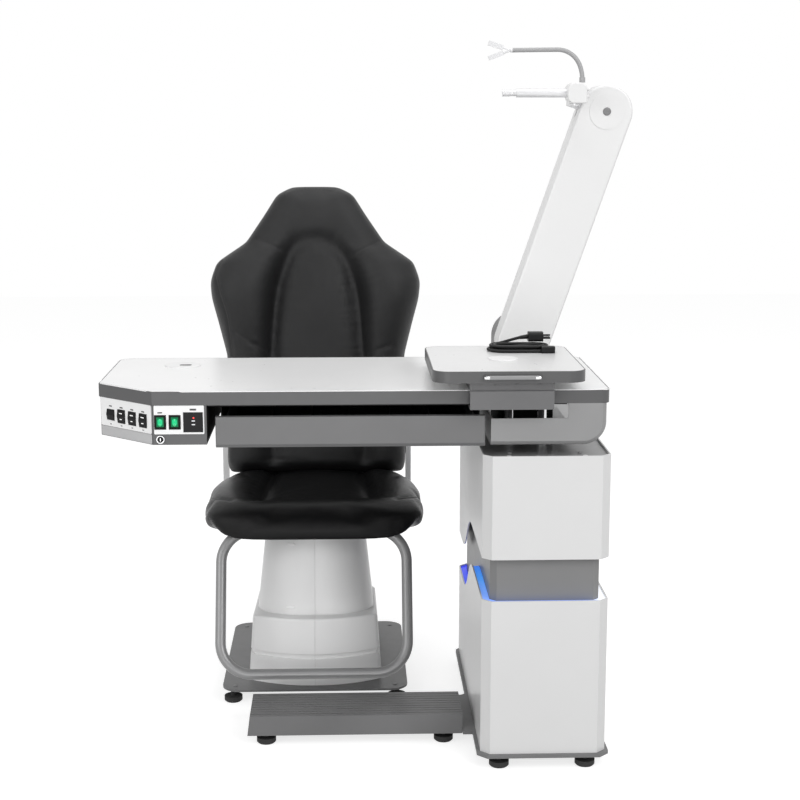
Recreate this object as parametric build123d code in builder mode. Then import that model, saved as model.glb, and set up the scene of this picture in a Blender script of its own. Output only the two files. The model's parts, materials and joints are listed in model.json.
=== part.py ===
"""Optometry combination table: a lifting table on a telescopic column, with a sliding instrument tray,
a trial-lens drawer, a refractor arm with a lamp, and a patient chair.

Millimetres, +Z up, +Y from the examiner's side towards the patient, +X along the table to the column.
The origin is the bottom centre of the whole object."""
from build123d import *
from math import cos, pi, radians, sin, sqrt
import os

# Driving sizes of the layout
table_reach = 980
table_depth = 478
table_height = 863
table_thickness = 30
column_width = 280
column_depth = 720
chair_offset_x = -518
chair_offset_y = 688
overall_rear = 1075.5
arm_length = 596
arm_lean = 19
arm_radius = 63

# Clearances
slip = 0.05
clear = 0.3
free_play = 0.8
overrun = 5

# Feet
foot_radius = 22.5
foot_pad_height = 14
foot_stud_radius = 6
plate_foot_height = 29
footboard_foot_height = 25
chair_foot_height = 31

# Column base plate and its tongue
base_plate_thickness = 8
base_plate_margin = 8
base_plate_corner = 22
tongue_front = 135
tongue_depth = 235
tongue_reach = 22
tongue_fillet = 14
foot_inset_x = 43
foot_inset_y = 25

# Column housings
housing_wall = 3
housing_chamfer = 20
front_split_drop = 472
rear_split_drop = 592
lower_wave_start = 262
lower_wave_end = 560
wave_gap = 94
wave_lag = 42
upper_drop = 146
sleeve_inset = 19
sleeve_wall = 3
sleeve_chamfer = 14
sleeve_drop = 105
led_drop = 4
led_height = 12

# Column lift
lift_width = 120
lift_depth = 84
lift_wall = 5
lift_y = 345
lift_outer_drop = 157
lift_engagement = 270
lift_flange = 15
lift_flange_thickness = 8
top_plate_thickness = 8
top_plate_recess = 6
top_screw_radius = 5
top_screw_head = 3
top_screw_x = 78
top_screw_y = 60

# Table support on the column
support_left = -91
support_width = 122
support_front = 172
support_depth = 200
support_wall = 8
post_radius = 12
post_x = (-70, 3)
post_y = 158

# Footboard
footboard_length = 500
footboard_front = 152
footboard_depth = 148
footboard_height = 47
footboard_wall = 4
footboard_slant = 6
footboard_foot_inset_x = 43
footboard_foot_inset_y = 26
groove_count = 9
groove_width = 2.6
groove_depth = 1.6

# Tabletop
table_right = 132
table_chamfer_x = 130
table_chamfer_y = 120
table_front_corner = 18
table_rear_corner = 38
table_chamfer_round = 9
edge_band = 3
edge_round = 1.2
grommet_radius = 42
grommet_height = 2.5
grommet_spigot = 30
table_grommet_inset = 161
table_grommet_y = 359

# Instrument tray
tray_left = -253
tray_width = 328
tray_front = -45
tray_depth = 380
tray_corner = 36
tray_thickness = 25
tray_lift = 22
tray_grommet_radius = 33
tray_grommet_x = -87.5
tray_grommet_y = 130

# Tray bracket and its rail
bracket_left = -173
bracket_width = 179.5
bracket_front = -36
bracket_plate = 6
bracket_step = 8
bracket_rear = 210
bracket_top_plate = 8
hook_thickness = 3
hook_reach = 31
hook_lip = 6
pad_width = 24
rail_front = 8
rail_depth = 16
rail_height = 3.5
rail_end_gap = 3
lever_length = 111
lever_centre_x = -84.5
lever_height = 9
lever_depth = 8
lever_gap = 1.5
lever_drop = 12.5
lever_ear = 5
lever_pin_radius = 2
screw_radius = 3.6
screw_head = 2.2
screw_x = (-116, -73, -24)

# Control box and its switches
box_length = 245.5
box_rear = 440
box_drop = 116
box_wall = 3
box_setback = 3
box_side_setback = 3
panel_thickness = 2.4
panel_drop = 92.3
panel_end_margin = 5
switch_pocket = 14
power_rocker_width = 25.6
power_rocker_height = 32
power_rocker_inset = (146.8, 177.8)
side_rocker_width = 26
side_rocker_height = 31
side_rocker_last_height = 25
side_rocker_first = 31
side_rocker_pitch = 36
side_rocker_count = 4
switch_drop = 66.4
rocker_depth = 9
rocker_proud = 2.2
rocker_pin_radius = 1.5
touch_width = 42
touch_height = 43.5
touch_inset = 217
touch_depth = 3.2
lock_radius = 9
lock_inset = 146.5
lock_drop = 104
lock_shank_radius = 6.5
lock_shank = 16
lock_collar = 2
lock_slot_width = 1.4
lock_slot_length = 8

# Drawer and its case
drawer_left_inset = 264
drawer_right = -137
drawer_drop = 123.5
drawer_front_height = 67.5
drawer_front_thickness = 18
drawer_front_chamfer = 8
drawer_inset = 18
drawer_depth = 410
drawer_floor_gap = 9
drawer_side_height = 50
drawer_wall = 3
drawer_dividers = 5
runner_height = 12
runner_width = 7
runner_drop = 91
case_front = 45
case_rear = 450
case_wall = 2
channel_lip = 2

# Apron beside the drawer
apron_left = -124.3
apron_right = 126.5
apron_drop = 122.6
apron_strip_drop = 62.6
apron_upstand_left = 42.6
apron_depth = 440
apron_side_depth = 90
apron_wall = 3
apron_corner = 50
apron_edge = 12
apron_chamfer = 10
apron_cutout_margin = 10

# Refractor arm
pivot_x = -2
pivot_rise = 24.6
arm_setback = 22
arm_depth = 93
arm_wall = 3
arm_edge_round = 6
arm_disc_radius = 42
arm_disc_rise = 1.6
pin_cap_radius = 9.5
pin_cap_clearance = 0.4
bar_width = 44
bar_thickness = 12
bar_front_gap = 12
hub_radius = 26
hub_length = 33
shaft_radius = 12
carrier_layer = 41
carrier_thickness = 10
carrier_hub_radius = 24
carrier_half_height = 17
carrier_slot_play = 1.5
tie_layer = 56
tie_thickness = 8
tie_width = 16
tie_offset_x = -24
tie_offset_z = -4.7
tie_pin_radius = 4
pedestal_gap = 4
pedestal_width = 122
pedestal_depth = 96
pedestal_flange = 12
pedestal_wall = 10
pedestal_boss_radius = 40
pedestal_boss_play = 2

# Lens arm on the head of the refractor arm
block_reach = 81.2
block_forward = 43
block_rise = 42.9
block_width = 46
block_depth = 54
block_height = 48
block_round = 16
lug_thickness = 5
lug_width = 20
post_height = 34
swivel_radius = 8
neck_gap = 2
tube_radius = 10.6
tube_reach = 141.6
tube_neck_radius = 7.6
tube_neck_length = 16.3
tube_tip_radius = 8.4
tube_tip_length = 16.8
tube_hole_radius = 2.5
tube_bite = 10
knob_radius = 4
knob_length = 8
knob_spacing = 17

# Lamp
lamp_shift = 14
lamp_base_height = 12
lamp_base_radius = 7
lamp_tube_radius = 5.3
# Points of the gooseneck's middle line, across and up from the head block's centre
gooseneck_points = ((6.6, 65.9), (-46, 100), (-152.2, 98.5))
ferrule_length = 5
prong_radius = 2.4
prong_length = 54
prong_spread = 19
lamp_head_length = 36
lamp_head_width = 13
lamp_head_height = 11

# Chair base
chair_plate_width = 463
chair_plate_depth = 534
chair_plate_corner = 45
chair_plate_thickness = 5
chair_foot_inset = 27
cover_width = 336
cover_depth = 480
cover_top_width = 314
cover_top_depth = 456
cover_bow = 52
cover_corner = 20
cover_wall = 6
cover_shoulder = 184
cover_ledge_round = 7
cover_ledge_tilt = 5.5
cover_groove_bottom = 103
cover_groove_height = 12
cover_groove_depth = 4.5
tower_bottom = 150
tower_width = 306
tower_depth = 372
tower_top_width = 252
tower_top_depth = 320
tower_corner = 118
tower_top = 403
seam = 0.4
shroud_wall = 4
shroud_gap = 5
shroud_bottom = 192
chair_tube_radius = 45
chair_tube_wall = 5
chair_tube_top = 330
chair_post_bottom = 70
carriage_plate_thickness = 4
turntable_radius = 105

# Seat
pan_width = 430
pan_front = -163
pan_depth = 385
pan_corner = 70
pan_thickness = 8
pan_rise = 10.5
seat_half_width = 276
seat_front = -256
seat_depth = 492
seat_top_height = 497
seat_side_bulge = 13
# Sections from front to rear: place along, half width, then the heights of the underside, side seam,
# bolster, channel and middle, and the channel's place across
seat_shares = (
    (0.000, 0.42, -0.10, 0.34, 0.46, 0.48, 0.50, 0.17),
    (0.020, 0.66, -0.23, 0.56, 0.70, 0.74, 0.76, 0.27),
    (0.050, 0.80, -0.15, 0.66, 0.88, 0.90, 0.93, 0.33),
    (0.080, 0.885, 0.00, 0.70, 0.97, 0.95, 0.98, 0.36),
    (0.090, 0.90, 0.14, 0.71, 0.98, 0.96, 0.99, 0.36),
    (0.150, 0.96, 0.14, 0.74, 1.04, 0.95, 1.00, 0.38),
    (0.165, 0.965, 0.00, 0.75, 1.05, 0.93, 1.00, 0.385),
    (0.300, 1.00, 0.00, 0.77, 1.09, 0.85, 1.00, 0.39),
    (0.560, 0.99, 0.00, 0.77, 1.12, 0.82, 1.00, 0.39),
    (0.780, 0.93, 0.00, 0.77, 1.14, 0.82, 1.00, 0.37),
    (0.880, 0.87, 0.00, 0.75, 1.03, 0.84, 0.99, 0.35),
    (1.000, 0.80, 0.10, 0.60, 0.87, 0.78, 0.89, 0.33))

# Footrest ring
ring_tube_radius = 13
ring_width = 459
ring_bottom_y = -328
ring_bottom_z = 99
ring_top_y = -196.5
ring_corner = 78

# Side brackets and recline hinge
recline_y = 300
recline_z = 535
side_inner = 246
side_thickness = 14
side_arm_width = 46
side_foot_front = -20
side_foot_depth = 90
side_foot_height = 26
side_foot_thickness = 10
side_foot_reach = 95
hinge_pin_radius = 7
hinge_ear_radius = 22
hinge_ear_length = 30

# Backrest
back_tilt = 7.5
back_lower_z = 500
back_height = 763.2
back_front_y = 184.5
back_half_width = 284
back_thickness = 84
back_side_bulge = 7
# Sections from bottom to top in the same order of columns
back_shares = (
    (0.000, 0.830, 0.10, 0.50, 0.62, 0.54, 0.64, 0.41),
    (0.039, 0.857, 0.00, 0.78, 1.02, 0.78, 0.98, 0.43),
    (0.259, 0.832, 0.00, 0.86, 1.18, 0.76, 1.00, 0.43),
    (0.415, 0.845, 0.00, 0.92, 1.32, 0.74, 1.00, 0.42),
    (0.532, 0.925, 0.00, 0.98, 1.46, 0.74, 1.00, 0.40),
    (0.610, 0.985, 0.00, 1.00, 1.52, 0.74, 1.00, 0.38),
    (0.669, 1.000, 0.00, 0.98, 1.50, 0.75, 1.00, 0.34),
    (0.737, 0.935, 0.00, 0.92, 1.36, 0.80, 1.00, 0.26),
    (0.805, 0.660, 0.00, 0.84, 1.12, 0.94, 1.03, 0.18),
    (0.903, 0.480, 0.00, 0.80, 1.04, 1.04, 1.07, 0.15),
    (0.971, 0.370, 0.00, 0.66, 0.88, 0.88, 0.91, 0.12),
    (1.000, 0.230, 0.12, 0.40, 0.50, 0.50, 0.52, 0.07))
shell_thickness = 22
shell_inset = 16
shell_drop = 10
shell_gap = 0.4

# Mains lead on the tray
cord_radius = 3.5
cord_layer = 8
hank_left = -70.5
hank_right = -3.5
hank_y = 262
hank_turn = 21
hank_pitch = 4
hank_first_turn = 39
hank_rest = 0.4
connector_length = 30
connector_width = 20
connector_height = 15
connector_gap = 12
plug_length = 34
plug_width = 28
plug_height = 22
plug_setback = 10
plug_rise = 15.3
plug_pin_radius = 2.2
plug_pin_length = 17
plug_pin_spread = 6

# Places worked out from the sizes
upper_top = table_height - upper_drop
lower_front_top = table_height - front_split_drop
lower_rear_top = table_height - rear_split_drop
sleeve_top = upper_top - sleeve_drop
lift_outer_top = upper_top - lift_outer_drop
lift_inner_bottom = lift_outer_top - lift_engagement
table_grommet_x = table_grommet_inset - table_reach
box_right = box_length - table_reach
box_bottom = table_height - box_drop
panel_bottom = table_height - panel_drop
switch_level = table_height - switch_drop
power_rocker_x = [inset - table_reach for inset in power_rocker_inset]
touch_x = touch_inset - table_reach
lock_x = lock_inset - table_reach
lock_z = table_height - lock_drop
drawer_left = drawer_left_inset - table_reach
drawer_bottom = table_height - drawer_drop
runner_level = table_height - runner_drop
apron_bottom = table_height - apron_drop
apron_strip_top = table_height - apron_strip_drop
pivot_height = table_height + pivot_rise
arm_front = table_depth + arm_setback
head_x = pivot_x + arm_length * sin(radians(arm_lean))
block_x = head_x - block_reach
block_y = arm_front - block_forward
block_z = pivot_height + arm_length * cos(radians(arm_lean)) + block_rise
tube_end = block_x - tube_reach
tube_neck_end = tube_end - tube_neck_length
tube_tip_end = tube_neck_end - tube_tip_length
arm_reach = head_x + arm_radius
lever_front = tray_front - lever_gap - lever_depth
column_x = (table_reach - arm_reach) / 2
front_y = -(overall_rear + lever_front) / 2
column_foot = Vector(column_x, front_y, 0)
chair_foot = Vector(column_x + chair_offset_x, front_y + chair_offset_y, 0)
column_plan = Plane(column_foot)
chair_plan = Plane(chair_foot)
column_side = Plane(column_foot, x_dir=(0, 1, 0), z_dir=(1, 0, 0))
chair_side = Plane(chair_foot, x_dir=(0, 1, 0), z_dir=(1, 0, 0))
column_front = Plane(column_foot, x_dir=(1, 0, 0), z_dir=(0, -1, 0))

table_underside = table_height - table_thickness
base_plate_top = plate_foot_height + base_plate_thickness
top_plate_top = upper_top - top_plate_recess
top_plate_bottom = top_plate_top - top_plate_thickness
tray_bottom = table_height + tray_lift
tray_top = tray_bottom + tray_thickness
half_column = column_width / 2


def block(foot, x_span, y_span, z_span, mode=Mode.ADD):
    """A box between two corners, measured from a foot point on the floor."""
    size = [span[1] - span[0] for span in (x_span, y_span, z_span)]
    middle = [(span[0] + span[1]) / 2 for span in (x_span, y_span, z_span)]
    with Locations(foot + Vector(*middle)):
        Box(*size, mode=mode)


def rod(foot, x, y, z_span, radius, mode=Mode.ADD):
    """An upright cylinder."""
    with Locations(foot + Vector(x, y, (z_span[0] + z_span[1]) / 2)):
        Cylinder(radius, z_span[1] - z_span[0], mode=mode)


def save(part, name):
    part.label = name
    export_step(part, f"parts/{name}.step")
    return part


def cut_corner_plan(height, width, front, depth, corner):
    """A rectangle with cut corners, seen from above, centred on the column."""
    with BuildSketch(column_plan.offset(height)) as plan:
        with Locations((0, front + depth / 2)):
            Rectangle(width, depth)
        chamfer(plan.vertices(), corner)
    return plan.sketch


def wave_cut(front_top, rear_top, start, end, lift=0, mode=Mode.SUBTRACT):
    """Cuts away, or keeps, all that is above an S-shaped edge in the column's side view."""
    middle = (start + end) / 2
    high = front_top + lift
    low = rear_top + lift
    with BuildSketch(column_side) as region:
        with BuildLine():
            Line((-column_depth, high), (start, high))
            Bezier((start, high), (middle, high), (middle, low), (end, low))
            Polyline((end, low), (2 * column_depth, low), (2 * column_depth, 2 * table_height),
                     (-column_depth, 2 * table_height), (-column_depth, high))
        make_face()
    extrude(region.sketch, amount=column_width, both=True, mode=mode)


os.makedirs("parts", exist_ok=True)


# Column base plate with the tongue that holds the footboard
plate_half = half_column + base_plate_margin
tongue_corners = (tongue_front, tongue_front + tongue_depth)
with BuildPart() as column_base_plate:
    extrude(cut_corner_plan(plate_foot_height, 2 * plate_half, -base_plate_margin,
                            column_depth + 2 * base_plate_margin, base_plate_corner),
            amount=base_plate_thickness)
    block(column_foot, (-plate_half - tongue_reach, -half_column), tongue_corners,
          (plate_foot_height, base_plate_top))
    roots = column_base_plate.edges().filter_by(Axis.Z).group_by(Axis.X)[1]
    fillet(roots.sort_by(Axis.Y)[-2:], tongue_fillet)
save(column_base_plate.part, "column_base_plate")

# Footboard, an open-bottomed tread with anti-slip grooves
footboard_right = -plate_half - tongue_reach
footboard_left = footboard_right - footboard_length
footboard_top = footboard_foot_height + footboard_height
footboard_rear = footboard_front + footboard_depth
groove_pitch = footboard_depth / (groove_count + 1)
with BuildPart() as footboard:
    with BuildSketch(column_front.offset(-footboard_front)):
        with BuildLine():
            Polyline((footboard_left, footboard_foot_height), (footboard_right, footboard_foot_height),
                     (footboard_right, footboard_top), (footboard_left + footboard_slant, footboard_top),
                     close=True)
        make_face()
    extrude(amount=-footboard_depth)
    block(column_foot, (footboard_left + footboard_wall + footboard_slant, footboard_right - footboard_wall),
          (footboard_front + footboard_wall, footboard_rear - footboard_wall),
          (footboard_foot_height - overrun, footboard_top - footboard_wall), Mode.SUBTRACT)
    for i in range(groove_count):
        middle = footboard_front + (i + 1) * groove_pitch
        block(column_foot, (footboard_left - overrun, footboard_right + overrun),
              (middle - groove_width / 2, middle + groove_width / 2),
              (footboard_top - groove_depth, footboard_top + overrun), Mode.SUBTRACT)
save(footboard.part, "footboard")

# Levelling feet of the column, the footboard and the chair
column_feet = [(side * (half_column - foot_inset_x), y) for side in (-1, 1)
               for y in (foot_inset_y, column_depth - foot_inset_y)]
footboard_feet = [(x, y)
                  for x in (footboard_left + footboard_foot_inset_x, footboard_right - footboard_foot_inset_x)
                  for y in (footboard_front + footboard_foot_inset_y, footboard_rear - footboard_foot_inset_y)]
chair_feet = [(x * (chair_plate_width / 2 - chair_foot_inset), y * (chair_plate_depth / 2 - chair_foot_inset))
              for x in (-1, 1) for y in (-1, 1)]
with BuildPart() as levelling_feet:
    for foot, places, height, stud_top in (
            (column_foot, column_feet, plate_foot_height, plate_foot_height),
            (column_foot, footboard_feet, footboard_foot_height, footboard_top - footboard_wall),
            (chair_foot, chair_feet, chair_foot_height, chair_foot_height)):
        for x, y in places:
            rod(foot, x, y, (0, foot_pad_height), foot_radius)
            rod(foot, x, y, (foot_pad_height, stud_top), foot_stud_radius)
    chamfer(levelling_feet.edges().group_by(Axis.Z)[0], foot_pad_height / 4)
save(levelling_feet.part, "levelling_feet")

# Lower column housing with its S-shaped top edge
lower_wave = (lower_front_top, lower_rear_top, lower_wave_start, lower_wave_end)
upper_wave = (lower_front_top + wave_gap, lower_rear_top + wave_gap,
              lower_wave_start + wave_lag, lower_wave_end + wave_lag)


def housing(bottom, top):
    """A four-sided sheet housing with cut corners, open above and below."""
    extrude(cut_corner_plan(bottom, column_width, 0, column_depth, housing_chamfer), amount=top - bottom)
    extrude(cut_corner_plan(bottom, column_width - 2 * housing_wall, housing_wall,
                            column_depth - 2 * housing_wall, housing_chamfer - housing_wall / 2),
            amount=top - bottom, mode=Mode.SUBTRACT)


with BuildPart() as lower_housing:
    housing(base_plate_top, upper_top)
    wave_cut(*lower_wave)
save(lower_housing.part, "lower_housing")

# Light strip that follows the top edge inside the lower housing
sleeve_width = column_width - 2 * sleeve_inset
sleeve_depth = column_depth - 2 * sleeve_inset
with BuildPart() as led_strip:
    extrude(cut_corner_plan(base_plate_top, column_width - 2 * housing_wall - 2 * slip, housing_wall + slip,
                            column_depth - 2 * housing_wall - 2 * slip, housing_chamfer - housing_wall / 2),
            amount=upper_top)
    extrude(cut_corner_plan(base_plate_top, sleeve_width + 2 * free_play, sleeve_inset - free_play,
                            sleeve_depth + 2 * free_play, sleeve_chamfer),
            amount=upper_top, mode=Mode.SUBTRACT)
    wave_cut(*lower_wave, lift=-led_drop)
    wave_cut(*lower_wave, lift=-led_drop - led_height, mode=Mode.INTERSECT)
save(led_strip.part, "led_strip")

# Inner sleeve between the two housings
with BuildPart() as inner_sleeve:
    extrude(cut_corner_plan(base_plate_top, sleeve_width, sleeve_inset, sleeve_depth, sleeve_chamfer),
            amount=sleeve_top - base_plate_top)
    extrude(cut_corner_plan(base_plate_top, sleeve_width - 2 * sleeve_wall, sleeve_inset + sleeve_wall,
                            sleeve_depth - 2 * sleeve_wall, sleeve_chamfer - sleeve_wall / 2),
            amount=sleeve_top - base_plate_top, mode=Mode.SUBTRACT)
save(inner_sleeve.part, "inner_sleeve")

# Column lift: a fixed outer tube and a moving inner tube
lift_x_span = (-lift_width / 2, lift_width / 2)
lift_y_span = (lift_y - lift_depth / 2, lift_y + lift_depth / 2)


def shrink(span, by):
    return (span[0] + by, span[1] - by)


with BuildPart() as column_lift_outer:
    block(column_foot, lift_x_span, lift_y_span, (base_plate_top, lift_outer_top))
    block(column_foot, shrink(lift_x_span, -lift_flange), shrink(lift_y_span, -lift_flange),
          (base_plate_top, base_plate_top + lift_flange_thickness))
    block(column_foot, shrink(lift_x_span, lift_wall), shrink(lift_y_span, lift_wall),
          (base_plate_top, lift_outer_top + overrun), Mode.SUBTRACT)
save(column_lift_outer.part, "column_lift_outer")

with BuildPart() as column_lift_inner:
    block(column_foot, shrink(lift_x_span, lift_wall + clear), shrink(lift_y_span, lift_wall + clear),
          (lift_inner_bottom, top_plate_bottom))
    block(column_foot, shrink(lift_x_span, 2 * lift_wall + clear), shrink(lift_y_span, 2 * lift_wall + clear),
          (lift_inner_bottom - overrun, top_plate_bottom + overrun), Mode.SUBTRACT)
save(column_lift_inner.part, "column_lift_inner")

# Upper column housing and the plate inside its top
with BuildPart() as upper_housing:
    housing(base_plate_top, upper_top)
    wave_cut(*upper_wave, mode=Mode.INTERSECT)
save(upper_housing.part, "upper_housing")

plate_gap = housing_wall + slip
with BuildPart() as column_top_plate:
    extrude(cut_corner_plan(top_plate_bottom, column_width - 2 * plate_gap, plate_gap,
                            column_depth - 2 * plate_gap, housing_chamfer - housing_wall / 2),
            amount=top_plate_thickness)
    for side in (-1, 1):
        rod(column_foot, side * top_screw_x, top_screw_y, (top_plate_bottom, top_plate_top + top_screw_head),
            top_screw_radius)
save(column_top_plate.part, "column_top_plate")

# Welded support that carries the tabletop, with two guide posts in front of it
support_x_span = (support_left, support_left + support_width)
support_y_span = (support_front, support_front + support_depth)
with BuildPart() as table_support:
    block(column_foot, support_x_span, support_y_span, (top_plate_top, table_underside))
    block(column_foot, shrink(support_x_span, support_wall), shrink(support_y_span, support_wall),
          (top_plate_top + support_wall, table_underside - support_wall), Mode.SUBTRACT)
save(table_support.part, "table_support")

with BuildPart() as support_posts:
    for x in post_x:
        rod(column_foot, x, post_y, (top_plate_top, table_underside), post_radius)
save(support_posts.part, "support_posts")


# Tabletop and its edge band
def table_outline(inset=0):
    """The tabletop seen from above, with its cut front corner."""
    with BuildSketch(column_plan.offset(table_underside)) as outline:
        with BuildLine():
            Polyline((table_right, 0), (table_right, table_depth), (-table_reach, table_depth),
                     (-table_reach, table_chamfer_y), (-table_reach + table_chamfer_x, 0), close=True)
        make_face()
        corners = outline.vertices().sort_by(Axis.Y)
        front = corners[:2].sort_by(Axis.X)
        fillet(front[1], table_front_corner)
        fillet([front[0], corners[2]], table_chamfer_round)
        fillet(outline.vertices().group_by(Axis.Y)[-1], table_rear_corner)
        if inset:
            offset(amount=-inset)
    return outline.sketch


with BuildPart() as tabletop:
    extrude(table_outline(edge_band), amount=table_thickness)
    rod(column_foot, table_grommet_x, table_grommet_y,
        (table_underside - overrun, table_height + overrun), grommet_spigot, Mode.SUBTRACT)
save(tabletop.part, "tabletop")

with BuildPart() as table_edge_band:
    extrude(table_outline(), amount=table_thickness)
    fillet(table_edge_band.edges().group_by(Axis.Z)[-1], edge_round)
    extrude(table_outline(edge_band), amount=table_thickness, mode=Mode.SUBTRACT)
save(table_edge_band.part, "table_edge_band")


def grommet(x, y, top, thickness, radius, spigot_radius):
    """A cable cap: a low disc with a plug that fills the hole in the board."""
    with BuildPart() as cap:
        rod(column_foot, x, y, (top, top + grommet_height), radius)
        fillet(cap.edges().group_by(Axis.Z)[-1], grommet_height / 2)
        rod(column_foot, x, y, (top - thickness, top), spigot_radius)
    return cap.part


save(grommet(table_grommet_x, table_grommet_y, table_height, table_thickness, grommet_radius,
             grommet_spigot - slip), "table_grommet")

# Rail for the tray under the front of the tabletop
rail_left = box_right + rail_end_gap
rail_right = apron_upstand_left - rail_end_gap
rail_bottom = table_underside - rail_height
with BuildPart() as tray_rail:
    block(column_foot, (rail_left, rail_right), (rail_front, rail_front + rail_depth),
          (rail_bottom, table_underside))
save(tray_rail.part, "tray_rail")


# Instrument tray
def tray_outline(inset=0):
    with BuildSketch(column_plan.offset(tray_bottom)) as outline:
        with Locations((tray_left + tray_width / 2, tray_front + tray_depth / 2)):
            RectangleRounded(tray_width - 2 * inset, tray_depth - 2 * inset, tray_corner - inset)
    return outline.sketch


tray_spigot = tray_grommet_radius * grommet_spigot / grommet_radius
with BuildPart() as tray_board:
    extrude(tray_outline(edge_band), amount=tray_thickness)
    rod(column_foot, tray_grommet_x, tray_grommet_y, (tray_bottom - overrun, tray_top + overrun),
        tray_spigot, Mode.SUBTRACT)
save(tray_board.part, "tray_board")

ear_span = (lever_centre_x - lever_length / 2 - lever_ear, lever_centre_x + lever_length / 2 + lever_ear)
lever_span = (lever_centre_x - lever_length / 2, lever_centre_x + lever_length / 2)
lever_level = tray_top - lever_drop
lever_y = tray_front - lever_gap - lever_depth / 2
with BuildPart() as tray_edge_band:
    extrude(tray_outline(), amount=tray_thickness)
    fillet(tray_edge_band.edges().group_by(Axis.Z)[-1], edge_round)
    extrude(tray_outline(edge_band), amount=tray_thickness, mode=Mode.SUBTRACT)
    for inner, outer in ((lever_span[0] - clear, ear_span[0]), (lever_span[1] + clear, ear_span[1])):
        block(column_foot, sorted((inner, outer)), (lever_y - lever_depth / 2, tray_front + edge_band / 2),
              (lever_level - lever_height / 2, lever_level + lever_height / 2))
        with Locations(Plane(column_foot + Vector((inner + outer) / 2, lever_y, lever_level),
                             x_dir=(0, 1, 0), z_dir=(1, 0, 0))):
            Cylinder(lever_pin_radius + slip, abs(outer - inner) + overrun, mode=Mode.SUBTRACT)
save(tray_edge_band.part, "tray_edge_band")

with BuildPart() as tray_lock_lever:
    block(column_foot, lever_span, (lever_y - lever_depth / 2, lever_y + lever_depth / 2),
          (lever_level - lever_height / 2, lever_level + lever_height / 2))
    fillet(tray_lock_lever.edges().filter_by(Axis.X), lever_depth / 3)
    with Locations(Plane(column_foot + Vector(lever_centre_x, lever_y, lever_level),
                         x_dir=(0, 1, 0), z_dir=(1, 0, 0))):
        Cylinder(lever_pin_radius, ear_span[1] - ear_span[0])
save(tray_lock_lever.part, "tray_lock_lever")

save(grommet(tray_grommet_x, tray_grommet_y, tray_top, tray_thickness, tray_grommet_radius,
             tray_spigot - slip), "tray_grommet")

# Bracket that carries the tray and hooks under the rail
bracket_right = bracket_left + bracket_width
hook_top = rail_bottom - clear
hook_bottom = hook_top - hook_thickness
ledge = table_height + bracket_plate / 2
step_front = bracket_front + bracket_step
with BuildPart() as tray_bracket:
    with BuildSketch(column_side.offset(bracket_left)):
        with BuildLine():
            Polyline((step_front, tray_bottom), (step_front, ledge), (bracket_front, ledge),
                     (bracket_front, hook_bottom), (hook_reach, hook_bottom),
                     (hook_reach, hook_bottom + hook_lip), (hook_reach - hook_thickness, hook_bottom + hook_lip),
                     (hook_reach - hook_thickness, hook_top), (bracket_front + bracket_plate, hook_top),
                     (bracket_front + bracket_plate, ledge - bracket_plate),
                     (step_front + bracket_plate, ledge - bracket_plate),
                     (step_front + bracket_plate, tray_bottom - bracket_top_plate),
                     (bracket_rear, tray_bottom - bracket_top_plate), (bracket_rear, tray_bottom), close=True)
        make_face()
    extrude(amount=bracket_width)
    for pad_left in (bracket_left, bracket_right - pad_width):
        block(column_foot, (pad_left, pad_left + pad_width), (edge_band, bracket_rear),
              (table_height + clear, tray_bottom - bracket_top_plate))
    for x in screw_x:
        with Locations(Plane(column_foot + Vector(x, step_front, tray_bottom - bracket_top_plate),
                             x_dir=(1, 0, 0), z_dir=(0, -1, 0))):
            Cylinder(screw_radius, screw_head, align=(Align.CENTER, Align.CENTER, Align.MIN))
save(tray_bracket.part, "tray_bracket")

# Control box at the free end of the table
slope_length = sqrt(table_chamfer_x ** 2 + table_chamfer_y ** 2)
slope_origin = column_foot + Vector(table_chamfer_x - table_reach, 0, 0)
slope_dir = Vector(-table_chamfer_x, table_chamfer_y, 0) / slope_length
slope_out = Vector(-table_chamfer_y, -table_chamfer_x, 0) / slope_length
side_face = Plane(slope_origin, x_dir=slope_dir * -1, z_dir=slope_out)
box_left = -table_reach + box_side_setback
corner_shift = box_setback * table_chamfer_y / (slope_length + table_chamfer_x)
box_corner = -table_reach + table_chamfer_x + corner_shift
slope_end_y = (table_chamfer_y * (1 - box_side_setback / table_chamfer_x)
               + box_setback * slope_length / table_chamfer_x)


def box_outline(height, inset):
    """The control box seen from above, following the cut corner of the table."""
    with BuildSketch(column_plan.offset(height)) as outline:
        with BuildLine():
            Polyline((box_right, box_setback), (box_right, box_rear), (box_left, box_rear),
                     (box_left, slope_end_y), (box_corner, box_setback), close=True)
        make_face()
        if inset:
            offset(amount=-inset, kind=Kind.INTERSECTION)
    return outline.sketch


side_rockers = [-side_rocker_first - i * side_rocker_pitch for i in range(side_rocker_count)]
switch_places = [(column_front, x, power_rocker_width, power_rocker_height) for x in power_rocker_x]
side_heights = [side_rocker_height] * (side_rocker_count - 1) + [side_rocker_last_height]
switch_places += [(side_face, x, side_rocker_width, height) for x, height in zip(side_rockers, side_heights)]
with BuildPart() as control_box:
    extrude(box_outline(box_bottom, 0), amount=table_underside - box_bottom)
    extrude(box_outline(box_bottom + box_wall, box_wall), amount=table_underside, mode=Mode.SUBTRACT)
    for plane, x, width, height in switch_places:
        with BuildSketch(plane):
            with Locations((x, switch_level)):
                Rectangle(width, height)
        extrude(amount=-switch_pocket, mode=Mode.SUBTRACT)
    with BuildSketch(column_front):
        with Locations((lock_x, lock_z)):
            Circle(lock_shank_radius + slip)
    extrude(amount=-switch_pocket, mode=Mode.SUBTRACT)
save(control_box.part, "control_box")

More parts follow.
